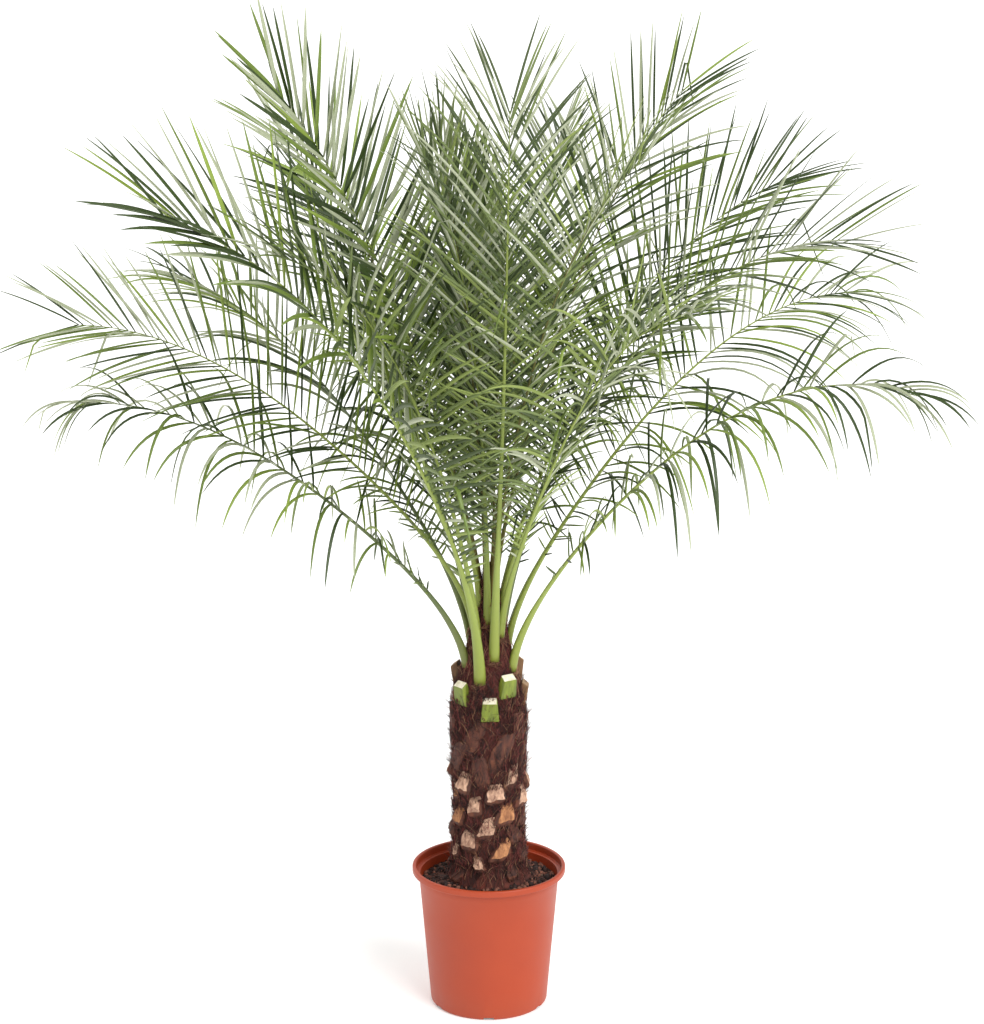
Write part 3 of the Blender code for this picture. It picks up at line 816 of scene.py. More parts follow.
def base_shape():
    """A leaf base: across from -1 to 1, up from -1 to 1, and outwards from below 0 up to 1."""
    deselect()
    bpy.ops.mesh.primitive_grid_add(x_subdivisions=BASE_COLUMNS, y_subdivisions=BASE_ROWS, size=2)
    base = settle(bpy.context.object, "leaf_base")
    edit(base)
    for row in range(BASE_ROWS + 1):
        up = 2 * row / BASE_ROWS - 1
        pick(on_row(up))
        bpy.ops.transform.resize(value=(BASE_WIDTHS[row], 1, 1), center_override=(0, up, 0))
        bpy.ops.transform.translate(value=(0, 0, BASE_HEIGHTS[row]))
    pick(lambda place: abs(place.x) > 0.9 * BASE_WIDTHS[round(base_row(place.y))])
    bpy.ops.transform.translate(value=(0, 0, -RIM_DROP))
    bpy.ops.mesh.select_all(action="SELECT")
    bpy.ops.mesh.extrude_region_move(TRANSFORM_OT_translate={"value": (0, 0, -BASE_DEPTH)})
    close_up()
    for face in base.data.polygons:
        row = base_row(face.center.y)
        rim = abs(face.center.x) > RIM_FROM * BASE_WIDTHS[min(int(row), BASE_ROWS)]
        face.material_index = int(face.normal.z > 0.1 and row > LIP_ROW and not rim)
    return take_apart(base)


LEAF_BASE = base_shape()
print("leaf base:", len(LEAF_BASE.faces), "faces,", int(LEAF_BASE.finishes.sum()), "of them on the cut")


# %% Trunk: leaf bases on the spiral
LOW_BASE = (0.0138, 0.019, 0.0066)  # half width, half length, and how far it stands out
HIGH_BASE = (0.0135, 0.030, 0.0046)
HIGH_FROM = 0.385  # above this the bases are long, and still wrapped in fibre
SMALL_BELOW = 0.262  # under this the bases are those of a very young palm, and smaller
SMALL_SHARE = 0.7
BASE_SIZES = (0.88, 1.12)  # least and most of a base's share of its size
STANDS_OUT = (0.7, 2.0)  # and of its depth, which makes the outline ragged
BASE_SKEW = (0.2, 0.25)  # mean and spread of how far its top is pushed to one side
BASE_LEAN = (0.05, 0.15)  # and of how far it is turned, in radians
BASE_STRAY = 0.04  # spread of its place round the stem
BASE_ROUGH = 0.0007  # spread of its points
LIFTED_LIP = 0.009  # the most that the top of a high base stands off
BASE_SHARP = math.radians(32)
TAN_BASES = (23, 29, 31, 42)  # counted from the stubs down: bases with a tan cut
DARK_BASES = (32, 36, 37, 40, 45, 49, 50, 52)  # and bases with a weathered cut
DARK, PALE, TAN = 1, 2, 3  # finishes of a cut, after the skin's


def wrap(local, azimuth, height, lean):
    """Wraps points (across, up, out) in metres round the trunk, at places on it."""
    across = local[..., 0] * math.cos(lean) - local[..., 1] * math.sin(lean)
    up = local[..., 0] * math.sin(lean) + local[..., 1] * math.cos(lean)
    rise = height + up
    radius = trunk_radius(rise)
    return around(azimuth + across / radius, radius + local[..., 2], rise)


def cut_of(back, high):
    """The finish of one base's cut."""
    if high or back in DARK_BASES:
        return DARK
    return TAN if back in TAN_BASES else PALE


def make_bases(finishes):
    dice = np.random.default_rng(21)
    placed = []
    chosen = []
    for back in range(1, SCALE_COUNT + 1):
        azimuth, height = spiral(-STUB_COUNT - back)
        high = height > HIGH_FROM
        size = np.array(HIGH_BASE if high else LOW_BASE) * dice.uniform(*BASE_SIZES, 3)
        size[2] *= dice.uniform(*STANDS_OUT)
        if height < SMALL_BELOW:
            size *= SMALL_SHARE
        local = LEAF_BASE.points * size
        local[:, 0] += local[:, 1] * dice.normal(*BASE_SKEW)
        local += dice.normal(0, BASE_ROUGH, local.shape)
        if high:
            local[:, 2] += dice.uniform(0, LIFTED_LIP) * np.clip(LEAF_BASE.points[:, 1], 0, 1)
        azimuth += dice.normal(0, BASE_STRAY)
        placed.append(wrap(local, azimuth, height, dice.normal(*BASE_LEAN)))
        chosen.append(LEAF_BASE.finishes * cut_of(back, high))
    return joined("leaf_bases", LEAF_BASE, np.array(placed), finishes, chosen, BASE_SHARP)


BARK = finish("leaf base skin", (40, 20, 17), (112, 64, 44), 130, (1, 1, 0.2), (0.7, 0.9), 0.9, 0.0014)
BROWN_CUT = finish("weathered cut", (38, 17, 16), (104, 60, 44), 150, (1, 1, 0.22), (0.8, 0.9), 0.8, 0.001)
PALE_CUT = finish("pale cut", (104, 64, 50), (226, 184, 154), 150, (1, 1, 0.4), (0.75, 0.9), 0.7, 0.001)
TAN_CUT = finish("tan cut", (104, 58, 34), (196, 138, 92), 150, (1, 1, 0.4), (0.75, 0.9), 0.7, 0.001)
bases = make_bases([BARK, BROWN_CUT, PALE_CUT, TAN_CUT])
fit(bases, "trunk")

# %% [markdown]
# ## Fibre
#
# The sheath of a palm leaf is a cloth of coarse strands. When it rots the strands stay, and wrap
# the stem and the feet of the stalks. A strand is drawn out of a triangle in a few steps, each one
# thinner. Its copies lie on the trunk, run mostly upwards with a slant to either side, and lift off
# at their tips. Hair curves would look the same here, but they don't survive the export.

# %% One strand
STRAND_STEPS = 5
STRAND_TAPER = 0.82  # of each step


def strand_shape():
    """A strand: a thin three-sided rod along Y, of length 1 and radius 1, narrowing to its tip."""
    deselect()
    bpy.ops.mesh.primitive_circle_add(vertices=3, radius=1, fill_type="NGON", rotation=(math.pi / 2, 0, 0))
    strand = settle(bpy.context.object, "strand")
    edit(strand)
    for step in range(STRAND_STEPS):
        bpy.ops.mesh.extrude_region_move(TRANSFORM_OT_translate={"value": (0, 1 / STRAND_STEPS, 0)})
        centre = (0, (step + 1) / STRAND_STEPS, 0)
        bpy.ops.transform.resize(value=(STRAND_TAPER, 1, STRAND_TAPER), center_override=centre)
    close_up()
    return take_apart(strand)


STRAND = strand_shape()
print("strand:", len(STRAND.faces), "faces, from", STRAND.points[:, 1].min(), "to", STRAND.points[:, 1].max())


# %% Strands on the trunk and round the heart
SLANT_SPREAD = 0.20
BEND_SPREAD = 0.45
TUFT_WIDTH = 0.06  # spread of a tuft's strands round the stem, in radians
TUFT_HEIGHT = 0.002
SHEATH_SIDE = (0.007, 0.011)  # how far beside a frond's foot its sheath's edge starts
SHEATH_DROP = (0.001, 0.005)  # and how far under it
SOIL_COVER = 0.001  # how deep a strand may reach into the soil


def strands(azimuth, height, length, slant, thickness, lift, bend, off):
    """Copies of the strand on the trunk. slant turns each from upright, lift raises its tip, and
    bend curves it to one side. off is how far its foot stands off the surface."""
    along = STRAND.points[:, 1]
    walked = length[:, None] * along
    angle = slant[:, None] + bend[:, None] * along
    across = walked * np.sin(angle) + thickness[:, None] * STRAND.points[:, 0]
    up = walked * np.cos(angle)
    out = off[:, None] + lift[:, None] * along**2 + thickness[:, None] * STRAND.points[:, 2]
    rise = height[:, None] + up
    radius = trunk_radius(rise)
    return around(azimuth[:, None] + across / np.maximum(radius, 0.01), radius + out, rise)


def anywhere(count, low, high, seed):
    """Random places on the trunk between two heights."""
    dice = np.random.default_rng(seed)
    return dice.uniform(0, math.tau, count), dice.uniform(low, high, count)


def in_tufts(count, each, low, high, seed):
    """Places on the trunk in small clumps."""
    dice = np.random.default_rng(seed)
    azimuth, height = anywhere(count, low, high, seed)
    azimuth = np.repeat(azimuth, each) + dice.normal(0, TUFT_WIDTH, count * each)
    return azimuth, np.repeat(height, each) + dice.normal(0, TUFT_HEIGHT, count * each)


def under_feet(each, seed):
    """Places in a short row under the foot of each frond."""
    dice = np.random.default_rng(seed)
    feet = np.repeat([spiral(number) for number in range(len(FRONDS))], each, axis=0)
    azimuth = feet[:, 0] - dice.uniform(*SHEATH_SIDE, len(feet)) / trunk_radius(feet[:, 1])
    return azimuth, feet[:, 1] - dice.uniform(*SHEATH_DROP, len(feet))


def make_strands(name, places, slants, lengths, lifts, offs, thicknesses, shares, seed):
    """Strands at some places, with their shares of the three fibres. Each slant is as likely as the
    others. The other ranges are a least and a most."""
    dice = np.random.default_rng(seed)
    azimuth, height = places
    count = len(azimuth)
    slant = dice.choice(slants, count) + dice.normal(0, SLANT_SPREAD, count)
    length = dice.uniform(*lengths, count)
    lift = lifts[0] + (lifts[1] - lifts[0]) * dice.random(count) ** 2
    thickness = dice.uniform(*thicknesses, count)
    bend = dice.normal(0, BEND_SPREAD, count)
    placed = strands(azimuth, height, length, slant, thickness, lift, bend, dice.uniform(*offs, count))
    placed[..., 2] = np.maximum(placed[..., 2], GROUND - SOIL_COVER)
    tones = np.repeat(dice.choice(len(FIBRES), count, p=shares)[:, None], len(STRAND.faces), 1)
    return joined(name, STRAND, placed, FIBRES, tones)


DARK_FIBRE = finish("dark fibre", (34, 19, 16), (66, 36, 31), 60, rough=(0.8, 0.9), bump=0.2)
RED_FIBRE = finish("red-brown fibre", (88, 38, 36), (140, 70, 64), 60, rough=(0.75, 0.9), bump=0.2)
TAN_FIBRE = finish("tan fibre", (132, 92, 66), (178, 136, 104), 60, rough=(0.75, 0.9), bump=0.2)
FIBRES = [DARK_FIBRE, RED_FIBRE, TAN_FIBRE]
trunk_fibre = make_strands(
    "trunk_fibre", anywhere(5600, 0.208, 0.51, 31), slants=(-0.5, 0.0, 0.4), lengths=(0.010, 0.030),
    lifts=(0.0, 0.006), offs=(0.0, 0.0065), thicknesses=(0.0003, 0.0007),
    shares=(0.58, 0.32, 0.10), seed=41,
)
fit(trunk_fibre, "trunk")
tufts = make_strands(
    "trunk_tufts", in_tufts(230, 16, 0.225, 0.52, 32), slants=(-0.9, -0.3, 0.5), lengths=(0.008, 0.020),
    lifts=(0.003, 0.016), offs=(0.001, 0.006), thicknesses=(0.0003, 0.0009),
    shares=(0.62, 0.30, 0.08), seed=42,
)
fit(tufts, "trunk")
heart_fibre = make_strands(
    "heart_fibre", anywhere(3400, 0.465, 0.665, 33), slants=(-0.62, -0.1, 0.62), lengths=(0.020, 0.050),
    lifts=(0.0, 0.003), offs=(-0.0005, 0.0025), thicknesses=(0.0003, 0.0007),
    shares=(0.34, 0.56, 0.10), seed=43,
)
fit(heart_fibre, "trunk")
edges = make_strands(
    "sheath_edges", under_feet(12, 34), slants=(1.5,), lengths=(0.012, 0.020),
    lifts=(0.0, 0.002), offs=(0.003, 0.007), thicknesses=(0.0005, 0.0011),
    shares=(0.0, 0.10, 0.90), seed=44,
)
fit(edges, "trunk")

# %% [markdown]
# ## Cut stalks
#
# Just under the crown, the stalks of the fronds that were cut last are still green. Each is a short
# wedge with a white, fibrous cut on top, and a few have dried brown. A cube is tapered, its top is
# sloped and inset, so that the skin shows round the cut as a thin rim, and a bevel rounds its edges.

# %% Stubs
STUB_LENGTH = 0.036
STUB_WIDTH = 0.029
STUB_THICKNESS = 0.015
STUB_LEAN = math.radians(14)
STUB_TAPER = (0.76, 1, 0.80)
CUT_SLOPE = 0.14  # how much lower the cut is on the underside, as a share of the length
CUT_RIM = 0.07
STUB_ROUNDING = 0.09
STUB_SHARP = math.radians(40)
DRIED_STUBS = (1, 2, 6)


def stub_shape():
    """A cut stalk: across from -0.5 to 0.5, upper side to +Z, and from its foot at 0 up to 1 on Y."""
    deselect()
    bpy.ops.mesh.primitive_cube_add(size=1, location=(0, 0.5, 0))
    stub = settle(bpy.context.object, "stub")
    edit(stub)
    pick(lambda place: place.y > 0.9)
    bpy.ops.transform.resize(value=STUB_TAPER, center_override=(0, 1, 0))
    pick(lambda place: place.y > 0.9 and place.z < 0)
    bpy.ops.transform.translate(value=(0, -CUT_SLOPE, 0))
    pick(lambda place: place.y > 0.7)
    bpy.ops.mesh.inset(thickness=CUT_RIM, depth=0)
    bpy.ops.object.mode_set(mode="OBJECT")
    for face in stub.data.polygons:
        face.material_index = int(face.center.y > 0.75 and face.normal.y > 0.3)
    rounding = stub.modifiers.new("round edges", "BEVEL")
    rounding.width = STUB_ROUNDING
    rounding.segments = 3
    rounding.limit_method = "ANGLE"
    deselect()
    bpy.context.view_layer.objects.active = stub
    bpy.ops.object.modifier_apply(modifier="round edges")
    return take_apart(stub)


STUB = stub_shape()
STUB_GREEN = finish("green stalk end", (84, 96, 20), (132, 146, 44), 160, (1, 1, 0.12), (0.4, 0.55), 0.4)
STUB_BROWN = finish("dry stalk end", (78, 52, 34), (134, 98, 62), 90, (1, 1, 0.2), (0.7, 0.85), 0.7, 0.0008)
DRY_CUT = finish("dry cut", (130, 100, 72), (180, 150, 116), 200, (1, 1, 1), (0.75, 0.9), 0.7, 0.0008)
STUB_CUT = finish("fresh cut", (206, 196, 160), (246, 240, 222), 200, (1, 1, 1), (0.7, 0.85), 0.7, 0.0008)
for number in range(1, STUB_COUNT + 1):
    azimuth, height = spiral(-number)
    foot = around(azimuth, trunk_radius(height) - FOOT_DEPTH, height)
    place = frames_for(foot, azimuth, STUB_LEAN, 0.0)
    local = STUB.points * [STUB_WIDTH, STUB_LENGTH, STUB_THICKNESS]
    axes = np.concatenate([place.across, place.along, place.upper])
    placed = foot + local @ axes
    colours = [STUB_BROWN, DRY_CUT] if number in DRIED_STUBS else [STUB_GREEN, STUB_CUT]
    stub = joined(f"cut_stalk_{number}", STUB, placed[None], colours, sharp_from=STUB_SHARP)
    fit(stub, "stalk", f"stub_{number}")

# %% [markdown]
# ## Ribs
#
# The stalk of a frond is broad and clasping at its foot, then a rounded rod with a shallow groove
# along its upper side, and it runs on through the blade as a rib that thins to a thread. One rod is
# drawn out of a ring in equal steps. Each rib is a copy of it, with every ring moved to its frame
# on the frond's curve and scaled to the width there.

# %% One rib, straight
RIB_STEPS = 56
RIB_SIDES = 10
RIB_SHARES = (0.0, 0.08, 0.16, 0.26, 0.6, 1.0)
RIB_WIDTHS = (1.0, 0.78, 0.55, 0.40, 0.22, 0.07)  # of the foot's width, at those shares
RIB_THICKNESS = 0.858  # of its width, before its upper side is flattened
RIB_FLATTENED = 0.8  # share of the upper side's height that is left
GROOVE = 0.12  # how deep the groove is then sunk
FOOT_WIDTH_OLD = 0.020
FOOT_WIDTH_YOUNG = 0.009


def rib_shape():
    """A rod of width 1 along Z, from 0 to 1, with a groove along its +Y side."""
    deselect()
    bpy.ops.mesh.primitive_circle_add(vertices=RIB_SIDES, radius=0.5, fill_type="NGON")
    rib = settle(bpy.context.object, "rib")
    edit(rib)
    pick(lambda place: place.y > 0.1)
    bpy.ops.transform.resize(value=(1, RIB_FLATTENED, 1), center_override=(0, 0, 0))
    pick(lambda place: place.y > 0.35)
    bpy.ops.transform.translate(value=(0, -GROOVE, 0))
    bpy.ops.mesh.select_all(action="SELECT")
    for _ in range(RIB_STEPS):
        bpy.ops.mesh.extrude_region_move(TRANSFORM_OT_translate={"value": (0, 0, 1 / RIB_STEPS)})
    close_up()
    return take_apart(rib, across=0, along=2)


RIB = rib_shape()
print("rib:", len(RIB.faces), "faces")


# %% Ribs: finishes and copies
def rib_finish(name, foot, middle, tip, rough=(0.4, 0.55)):
    """A stalk's finish: its colour runs from foot to tip along the UV map, and drifts on the way."""
    made = finish(name, middle, middle, 40, (6, 2, 1), rough, 0.25, 0.0004, follow="along")
    tree = made.node_tree
    shader = tree.nodes["Principled BSDF"]
    place = next(node for node in tree.nodes if node.type == "UVMAP")
    axes = put(tree, "SeparateXYZ", {"Vector": place.outputs["UV"]})
    ramp = put(tree, "ValToRGB", {"Fac": axes.outputs["Y"]})
    stops = ((0.02, foot), (0.16, middle), (0.75, middle), (1.0, tip))
    while len(ramp.color_ramp.elements) < len(stops):
        ramp.color_ramp.elements.new(0.5)
    for element, (at, colour) in zip(ramp.color_ramp.elements, stops):
        element.position = at
        element.color = shown(*colour)
    tones = next(node for node in tree.nodes if node.type == "GROUP" and node.node_tree == TONES)
    darker = put(tree, "HueSaturation", {"Color": ramp.outputs["Color"], "Value": 0.72, "Saturation": 0.95})
    tree.links.new(darker.outputs["Color"], tones.inputs["Dark"])
    tree.links.new(ramp.outputs["Color"], tones.inputs["Light"])
    tree.links.new(tones.outputs["Color"], shader.inputs["Base Color"])
    return made


FRESH_RIB = rib_finish("fresh stalk", (140, 152, 56), (150, 166, 76), (136, 152, 92))
OLD_RIB = rib_finish("older stalk", (116, 124, 56), (98, 112, 64), (108, 124, 82))
SCURFY_RIB = rib_finish("scurfy stalk", (130, 114, 50), (118, 112, 56), (122, 138, 80), (0.6, 0.8))
DARK_RIBS = (1, 3, 4, 6)  # fronds whose stalks have darkened with age
FIRST_SCURFY = 17  # fronds from this one on still carry the brown scurf of the bud


def rib_width(number, share):
    age = number / (len(FRONDS) - 1)
    foot = FOOT_WIDTH_OLD + (FOOT_WIDTH_YOUNG - FOOT_WIDTH_OLD) * age
    return foot * np.interp(share, RIB_SHARES, RIB_WIDTHS)


def grow_rib(number):
    share = RIB.points[:, 2]
    place = frames_at(SPINES[number], share)
    width = rib_width(number, share)[:, None]
    side = place.across * RIB.points[:, [0]] * width
    above = place.upper * RIB.points[:, [1]] * width * RIB_THICKNESS
    return (place.point + side + above)[None]


def rib_colour(number):
    if number >= FIRST_SCURFY:
        return SCURFY_RIB
    return OLD_RIB if number in DARK_RIBS else FRESH_RIB


for number in range(len(FRONDS)):
    rib = joined(f"rib_{number + 1:02d}", RIB, grow_rib(number), [rib_colour(number)])
    fit(rib, "stalk", f"frond_{number + 1:02d}")

# %% [markdown]
# ## Leaflets
#
# A leaflet is a long thin strap, folded along its midrib into a shallow V that opens upwards. It is
# narrow and closed where it meets the rib, widest before its middle, and ends in a fine thread. One
# is shaped from a grid, two faces wide and ten long: each row gets its width and the depth of its
# fold, and one extrude gives it a thickness. Its underside is a paler finish.

# %% One leaflet, straight
LEAFLET_ROWS = 10
LEAFLET_WIDTH = 0.0051
LEAFLET_THICKNESS = 0.0005
ROW_WIDTHS = (0.40, 0.76, 0.94, 1.0, 1.0, 0.97, 0.91, 0.82, 0.68, 0.46, 0.08)
# How far the edges of each row rise over its middle, as a share of the row's width.
ROW_FOLDS = (0.60, 0.55, 0.48, 0.42, 0.38, 0.34, 0.30, 0.25, 0.18, 0.10, 0.0)


def leaflet_shape():
    """A leaflet along Y from 0 to 1, at its real width across X, folded upwards."""
    deselect()
    bpy.ops.mesh.primitive_grid_add(
        x_subdivisions=2, y_subdivisions=LEAFLET_ROWS, size=1, location=(0, 0.5, 0)
    )
    leaflet = settle(bpy.context.object, "leaflet")
    edit(leaflet)
    bpy.ops.transform.resize(value=(LEAFLET_WIDTH, 1, 1), center_override=(0, 0, 0))
    for row in range(LEAFLET_ROWS + 1):
        at = row / LEAFLET_ROWS
        in_row = on_row(at)
        pick(in_row)
        bpy.ops.transform.resize(value=(ROW_WIDTHS[row], 1, 1), center_override=(0, at, 0))
        pick(lambda place: in_row(place) and abs(place.x) > MERGE)
        bpy.ops.transform.translate(value=(0, 0, ROW_FOLDS[row] * ROW_WIDTHS[row] * LEAFLET_WIDTH))
    bpy.ops.mesh.select_all(action="SELECT")
    bpy.ops.mesh.extrude_region_move(TRANSFORM_OT_translate={"value": (0, 0, -LEAFLET_THICKNESS)})
    close_up()
    for face in leaflet.data.polygons:
        face.material_index = int(face.normal.z < 0.3)
    return take_apart(leaflet)


LEAFLET = leaflet_shape()
print("leaflet:", len(LEAFLET.faces), "faces")

# %% [markdown]
# The greens are plain tones that each leaflet gets as a whole. A crown has deep old leaflets and
# lighter young ones side by side, and that difference between neighbours is what makes it look like
# many leaves. Within a leaflet, fine veins run along it, which the UV map carries.

# %% Leaflets: finishes
def leaf_finish(name, dark, light, rough=(0.36, 0.5)):
    return finish(name, dark, light, 30, (220, 3, 1), rough, 0.25, 0.0003, follow="along")


DEEP_GREEN = leaf_finish("deep leaf green", (42, 58, 24), (68, 88, 38))
MID_GREEN = leaf_finish("leaf green", (92, 114, 44), (124, 144, 64))
FRESH_GREEN = leaf_finish("fresh leaf green", (118, 142, 50), (150, 170, 78))
GREY_GREEN = leaf_finish("waxy leaf green", (142, 152, 118), (190, 196, 166), (0.42, 0.55))
DEEP_UNDER = leaf_finish("deep underside", (56, 70, 36), (84, 100, 54), (0.5, 0.65))
MID_UNDER = leaf_finish("underside", (98, 116, 62), (130, 144, 86), (0.5, 0.65))
FRESH_UNDER = leaf_finish("fresh underside", (124, 142, 68), (154, 168, 94), (0.5, 0.65))
GREY_UNDER = leaf_finish("waxy underside", (152, 160, 130), (198, 203, 174), (0.5, 0.65))
LEAF_GREENS = [DEEP_GREEN, MID_GREEN, FRESH_GREEN, GREY_GREEN, DEEP_UNDER, MID_UNDER, FRESH_UNDER, GREY_UNDER]
print(len(LEAF_GREENS), "greens")

# %% [markdown]
# A blade of leaflets could be an array along a curve, but an array doesn't know which way is down,
# or how old its frond is. So the place, length, heading, droop and twist of all leaflets of a frond
# are worked out as arrays of numbers, and the straight leaflet is bent to them, row by row. Each
# value has a small spread, and old fronds have worn, limp and missing leaflets, because a blade
# whose leaflets are all alike looks like a comb.

# %% Leaflets: their places and lengths
LEAFLET_SPACING = 0.0125
LEAFLET_LENGTH = 0.27  # the longest, for each metre of rib
LONGEST_AT = 0.42  # share of the leafy part of the rib
LEAST_LOW = 0.36  # of the longest, at the foot of the leafy part
LEAST_HIGH = 0.62  # and at its tip
LENGTH_TAPER = 1.8
LENGTH_RANGE = (0.88, 1.04)  # least and most of a leaflet's share of its length
SPINE_PAIRS = 6  # below the leaflets, the stalk has short stiff ones that are nearly spines
SPINE_REACH = 0.11  # how far down they go, as a share of the leafy part
SPINE_LOSS = 0.75  # how much shorter the lowest one is
PLACE_SPREAD = 0.15  # of a leaflet's place, as a share of the spacing
# A frond softer than SOFT_FROM is old. The shares after it are for each unit of softness over it.
SOFT_FROM = 0.75
WORN = 0.3  # by how much its leaflets are worn short
LOST = 0.35  # how many have fallen off
LIMP_SHARE = 0.6  # how many hang from their feet


def leaflet_length(place, frond):
    """The full length of a leaflet at each place: longest near the middle of the leafy part."""
    span = np.where(place < LONGEST_AT, LONGEST_AT, 1 - LONGEST_AT)
    shortest = np.where(place < LONGEST_AT, LEAST_LOW, LEAST_HIGH)
    away = np.abs(np.maximum(place, 0) - LONGEST_AT) / span
    full = 1 - (1 - shortest) * away**LENGTH_TAPER
    return LEAFLET_LENGTH * frond.length * full * (1 + SPINE_LOSS * np.minimum(place, 0) / SPINE_REACH)


def age_of(frond):
    """How far past its prime a frond is, in units of softness."""
    return max(frond.softness - SOFT_FROM, 0)


def set_out(frond, dice):
    """Each leaflet's place along the leafy part, under 0 for the spines, and its side of the rib."""
    pairs = round(frond.length * (1 - PETIOLE_SHARE) / LEAFLET_SPACING)
    spines = -SPINE_REACH * (np.arange(SPINE_PAIRS) + 0.5) / SPINE_PAIRS
    place = np.tile(np.concatenate([spines, (np.arange(pairs) + 0.5) / pairs]), 2)
    side = np.repeat([1.0, -1.0], pairs + SPINE_PAIRS)[:, None]
    return np.minimum(place + dice.normal(0, PLACE_SPREAD / pairs, len(place)), 1), side


print("longest leaflet:", round(LEAFLET_LENGTH * max(frond.length for frond in FRONDS), 3), "m")


# %% Leaflets: where they head, and how they bend and twist
ANGLE_AT_FOOT = math.radians(60)  # between a leaflet and the rib
ANGLE_AT_TIP = math.radians(16)
ANGLE_POWER = 2
RISE_OUT_OF_PLANE = math.radians(17)
UNREST_STIFF = 0.04  # spread of the leaflets' directions on a stiff frond, in radians
UNREST_SOFT = 0.05  # and what softness adds
DROOP = 1.15  # how far a leaflet of softness 1 has turned down at its tip
DROOP_RANGE = (0.7, 1.3)
SOFTNESS_POWER = 2
DROOP_POWER = 1.8
LIMP = 2.6  # how much further a hanging leaflet has
LIMP_POWER = 0.8
KINKED_SHARE = 0.03  # leaflets that are broken over
KINK = 2.2  # how much further they have past the break
KINK_RANGE = (0.4, 0.75)  # where along them the break is
TWIST_SPREAD = 0.35  # spread of the twist at a leaflet's tip, in radians
TURN_SPREAD = 0.2  # and of the turn of the whole leaflet
ROWS = np.linspace(0, 1, LEAFLET_ROWS + 1)  # places of a leaflet's rows, from foot to tip


def headings(place, side, rib, frond, dice):
    """Where each leaflet heads at its foot: forwards and sideways, and a little out of the blade."""
    count = len(place)
    unrest = UNREST_STIFF + UNREST_SOFT * frond.softness
    angle = ANGLE_AT_FOOT + (ANGLE_AT_TIP - ANGLE_AT_FOOT) * place**ANGLE_POWER
    angle = ((angle + dice.normal(0, unrest, count)) * frond.opening)[:, None]
    rise = (RISE_OUT_OF_PLANE + dice.normal(0, 2 * unrest, count))[:, None]
    ahead = rib.along * np.cos(angle) + rib.across * side * np.sin(angle)
    return ahead * np.cos(rise) + rib.upper * np.sin(rise)


def bend_down(place, start, length, frond, dice):
    """How far each row of each leaflet has turned down. Longer leaflets bend further."""
    count = len(place)
    # An upright leaflet bends less than a level one, and the spines don't bend at all.
    level = np.hypot(start[:, [0]], start[:, [1]]) * (place[:, None] > 0)
    weight = DROOP * frond.softness**SOFTNESS_POWER
    droop = weight * dice.uniform(*DROOP_RANGE, (count, 1)) * ROWS**DROOP_POWER
    limp = LIMP * (dice.random((count, 1)) < LIMP_SHARE * age_of(frond)) * ROWS**LIMP_POWER
    kinked = (dice.random(count) < KINKED_SHARE) & (place > 0)
    past_kink = ROWS > dice.uniform(*KINK_RANGE, count)[:, None]
    bent = (droop + limp) * level * (length / length.max())[:, None]
    return bent + np.where(kinked[:, None] & past_kink, KINK, 0)


def twisted(start, heading, upper, dice):
    """Directions across each row and out of its upper side: level with the blade, and then twisted."""
    count = len(start)
    width = unit(np.cross(start, upper))[:, None] * np.ones((1, LEAFLET_ROWS + 1, 1))
    width = unit(width - heading * np.sum(width * heading, -1, keepdims=True))
    normal = np.cross(width, heading)
    twist = dice.normal(0, TWIST_SPREAD, count)[:, None] * ROWS + dice.normal(0, TURN_SPREAD, (count, 1))
    turn, lift = np.cos(twist)[..., None], np.sin(twist)[..., None]
    return width * turn + normal * lift, normal * turn - width * lift


print("a leaflet grows in", len(ROWS), "rows")


# %% Leaflets: one frond's
ROOT_SHARE = 0.3  # how far from the rib's midline a leaflet starts, as a share of the rib's width
BREADTH_LEAST = 0.62  # of the width of the longest leaflets, for one of no length
BREADTH_GAIN = 0.42
SLENDER_FRONDS = (5, 7, 11, 12, 15, 18, 20)  # fronds whose leaflets are narrower than the others'
SLENDER = 0.8
BROAD_FRONDS = (0, 16)  # and wider
BROAD = 1.35


def girth_of(number):
    """How wide a frond's leaflets are against the others'."""
    if number in SLENDER_FRONDS:
        return SLENDER
    return BROAD if number in BROAD_FRONDS else 1


def grow_leaflets(number, frond, dice):
    """Points of one frond's leaflets, as (leaflet, point, axis), and each one's place on the rib."""
    place, side = set_out(frond, dice)
    share = PETIOLE_SHARE + (1 - PETIOLE_SHARE) * place
    rib = frames_at(SPINES[number], share)
    start = headings(place, side, rib, frond, dice)
    length = leaflet_length(place, frond) * dice.uniform(*LENGTH_RANGE, len(place))
    length = length * (1 - WORN * age_of(frond))

    down = bend_down(place, start, length, frond, dice)
    heading = unit(start[:, None] - UP * down[..., None])
    between = (heading[:, 1:] + heading[:, :-1]) / 2
    walked = np.cumsum(between, axis=1) * (length / LEAFLET_ROWS)[:, None, None]
    root = rib.point + rib.across * side * (rib_width(number, share) * ROOT_SHARE)[:, None]
    path = np.concatenate([root[:, None], root[:, None] + walked], axis=1)

    width, normal = twisted(start, heading, rib.upper, dice)
    row = np.rint(LEAFLET.points[:, 1] * LEAFLET_ROWS).astype(int)
    breadth = girth_of(number) * (BREADTH_LEAST + BREADTH_GAIN * length / length.max())[:, None, None]
    across = width[:, row] * LEAFLET.points[None, :, [0]] * breadth
    above = normal[:, row] * LEAFLET.points[None, :, [2]] * breadth
    kept = dice.random(len(place)) > LOST * age_of(frond)
    return (path[:, row] + across + above)[kept], np.maximum(place, 0)[kept]


print(len(SLENDER_FRONDS), "fronds with narrow leaflets,", len(BROAD_FRONDS), "with broad ones")

# %% [markdown]
# The greens are dealt out by chance, with odds that change along the frond. Its outer leaflets have
# more wax on them and look greyer. Fronds that lie behind others get mostly deep greens, which is
# painted shade.

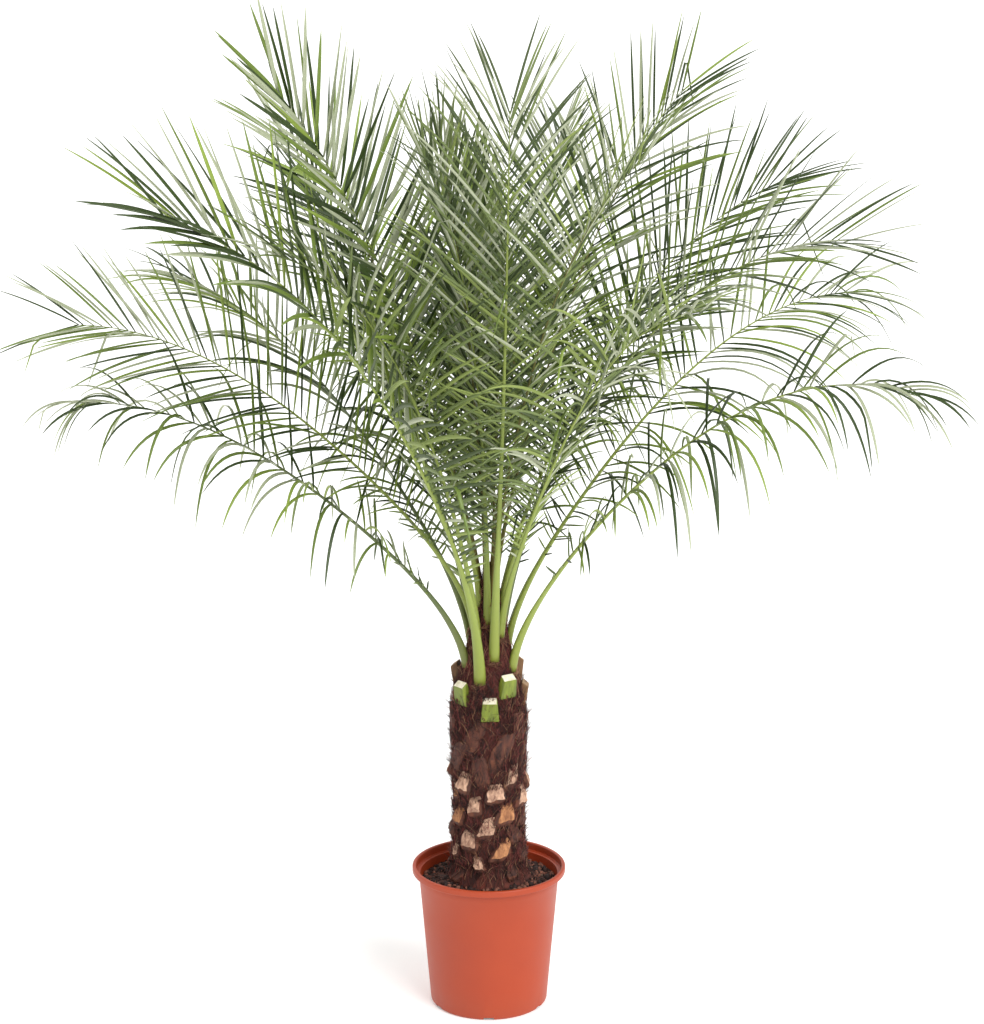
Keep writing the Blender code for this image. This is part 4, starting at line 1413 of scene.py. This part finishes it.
# %% Leaflets: which green each has
# Shares of the deep, middle, fresh and waxy greens.
INNER_TONES = (0.26, 0.36, 0.28, 0.10)  # towards the foot of a frond
OUTER_TONES = (0.32, 0.20, 0.08, 0.40)  # and towards its tip
# Mostly deep greens for the fronds that lie behind others: painted shade.
PAINTED_SHADE_TONES = (0.66, 0.27, 0.04, 0.03)
PAINTED_SHADE_FRONDS = (4, 9, 12, 14)
FRESH_TONES = (0.12, 0.30, 0.50, 0.08)
FRESH_FRONDS = (10,)


def tone_shares(number):
    """The shares towards the foot and towards the tip of one frond."""
    # A frond that lies behind others is deep green all along: painted shade.
    if number in PAINTED_SHADE_FRONDS:
        return PAINTED_SHADE_TONES, PAINTED_SHADE_TONES
    return FRESH_TONES if number in FRESH_FRONDS else INNER_TONES, OUTER_TONES


def leaf_tones(place, number, dice):
    """The finish of each leaflet's faces. Undersides have the second half of the greens."""
    inner, outer = tone_shares(number)
    tone = dice.choice(len(inner), len(place), p=inner)
    tone = np.where(dice.random(len(place)) < place, dice.choice(len(outer), len(place), p=outer), tone)
    return tone[:, None] + len(inner) * LEAFLET.finishes[None]


print("shaded fronds:", [number + 1 for number in PAINTED_SHADE_FRONDS])


# %% Leaflets: every frond
leaflet_count = 0
for number, frond in enumerate(FRONDS):
    dice = np.random.default_rng(100 + number)
    placed, place = grow_leaflets(number, frond, dice)
    tones = leaf_tones(place, number, dice)
    leaflets = joined(f"leaflets_{number + 1:02d}", LEAFLET, placed, LEAF_GREENS, tones)
    leaflet_count += len(placed)
    slot = "young_leaf" if number >= FIRST_YOUNG else "leaf"
    fit(leaflets, slot, f"frond_{number + 1:02d}")
print(leaflet_count, "leaflets in all")

# %% [markdown]
# ## Floor and light
#
# The palm stands on a plain pale floor in soft, even light, as in a bright studio. A white sky does
# most of the work. One large soft light from the right front gives the pot and the trunk a rounded
# look, and a weaker one from behind keeps the top of the crown crisp against the pale ground.

# %% Floor
FLOOR_SIZE = 400
FLOOR_GLOW = 0.15

deselect()
bpy.ops.mesh.primitive_plane_add(size=FLOOR_SIZE, location=(0, 0, 0))
floor = bpy.context.object
floor.name = "floor"
WHITE_FLOOR = finish("pale floor", (250, 250, 249), (252, 252, 251), 0.5, rough=(0.9, 0.95), bump=0.0)
glow = WHITE_FLOOR.node_tree.nodes["Principled BSDF"].inputs
glow["Emission Color"].default_value = (1, 1, 1, 1)
glow["Emission Strength"].default_value = FLOOR_GLOW
floor.data.materials.append(WHITE_FLOOR)


# %% Lights
SKY_LIGHT = 0.78
LIT_MIDDLE = Vector((0, 0, 0.7))  # the place that the lights point at


def soft_sun(name, place, strength, spread):
    """A distant light that shines from one side, as soft as its spread in degrees is wide."""
    bpy.ops.object.light_add(type="SUN", location=place)
    lamp = bpy.context.object
    lamp.name = name
    lamp.data.energy = strength
    lamp.data.angle = math.radians(spread)
    lamp.rotation_euler = (LIT_MIDDLE - Vector(place)).to_track_quat("-Z", "Y").to_euler()


soft_sun("key light", (3.0, -3.4, 4.2), strength=2.4, spread=40)
soft_sun("rim light", (-2.0, 2.6, 3.6), strength=0.7, spread=60)
world = bpy.data.worlds.new("white studio")
world.use_nodes = True
sky = world.node_tree
lit = sky.nodes["Background"]
lit.inputs["Color"].default_value = (1, 1, 1, 1)
lit.inputs["Strength"].default_value = SKY_LIGHT
seen = put(sky, "Background", {"Color": (1, 1, 1, 1), "Strength": 1.0})
choice = put(sky, "MixShader", {0: put(sky, "LightPath").outputs["Is Camera Ray"]})
sky.links.new(lit.outputs[0], choice.inputs[1])
sky.links.new(seen.outputs[0], choice.inputs[2])
sky.links.new(choice.outputs[0], sky.nodes["World Output"].inputs["Surface"])
bpy.context.scene.world = world
bpy.context.scene.view_settings.view_transform = "Standard"
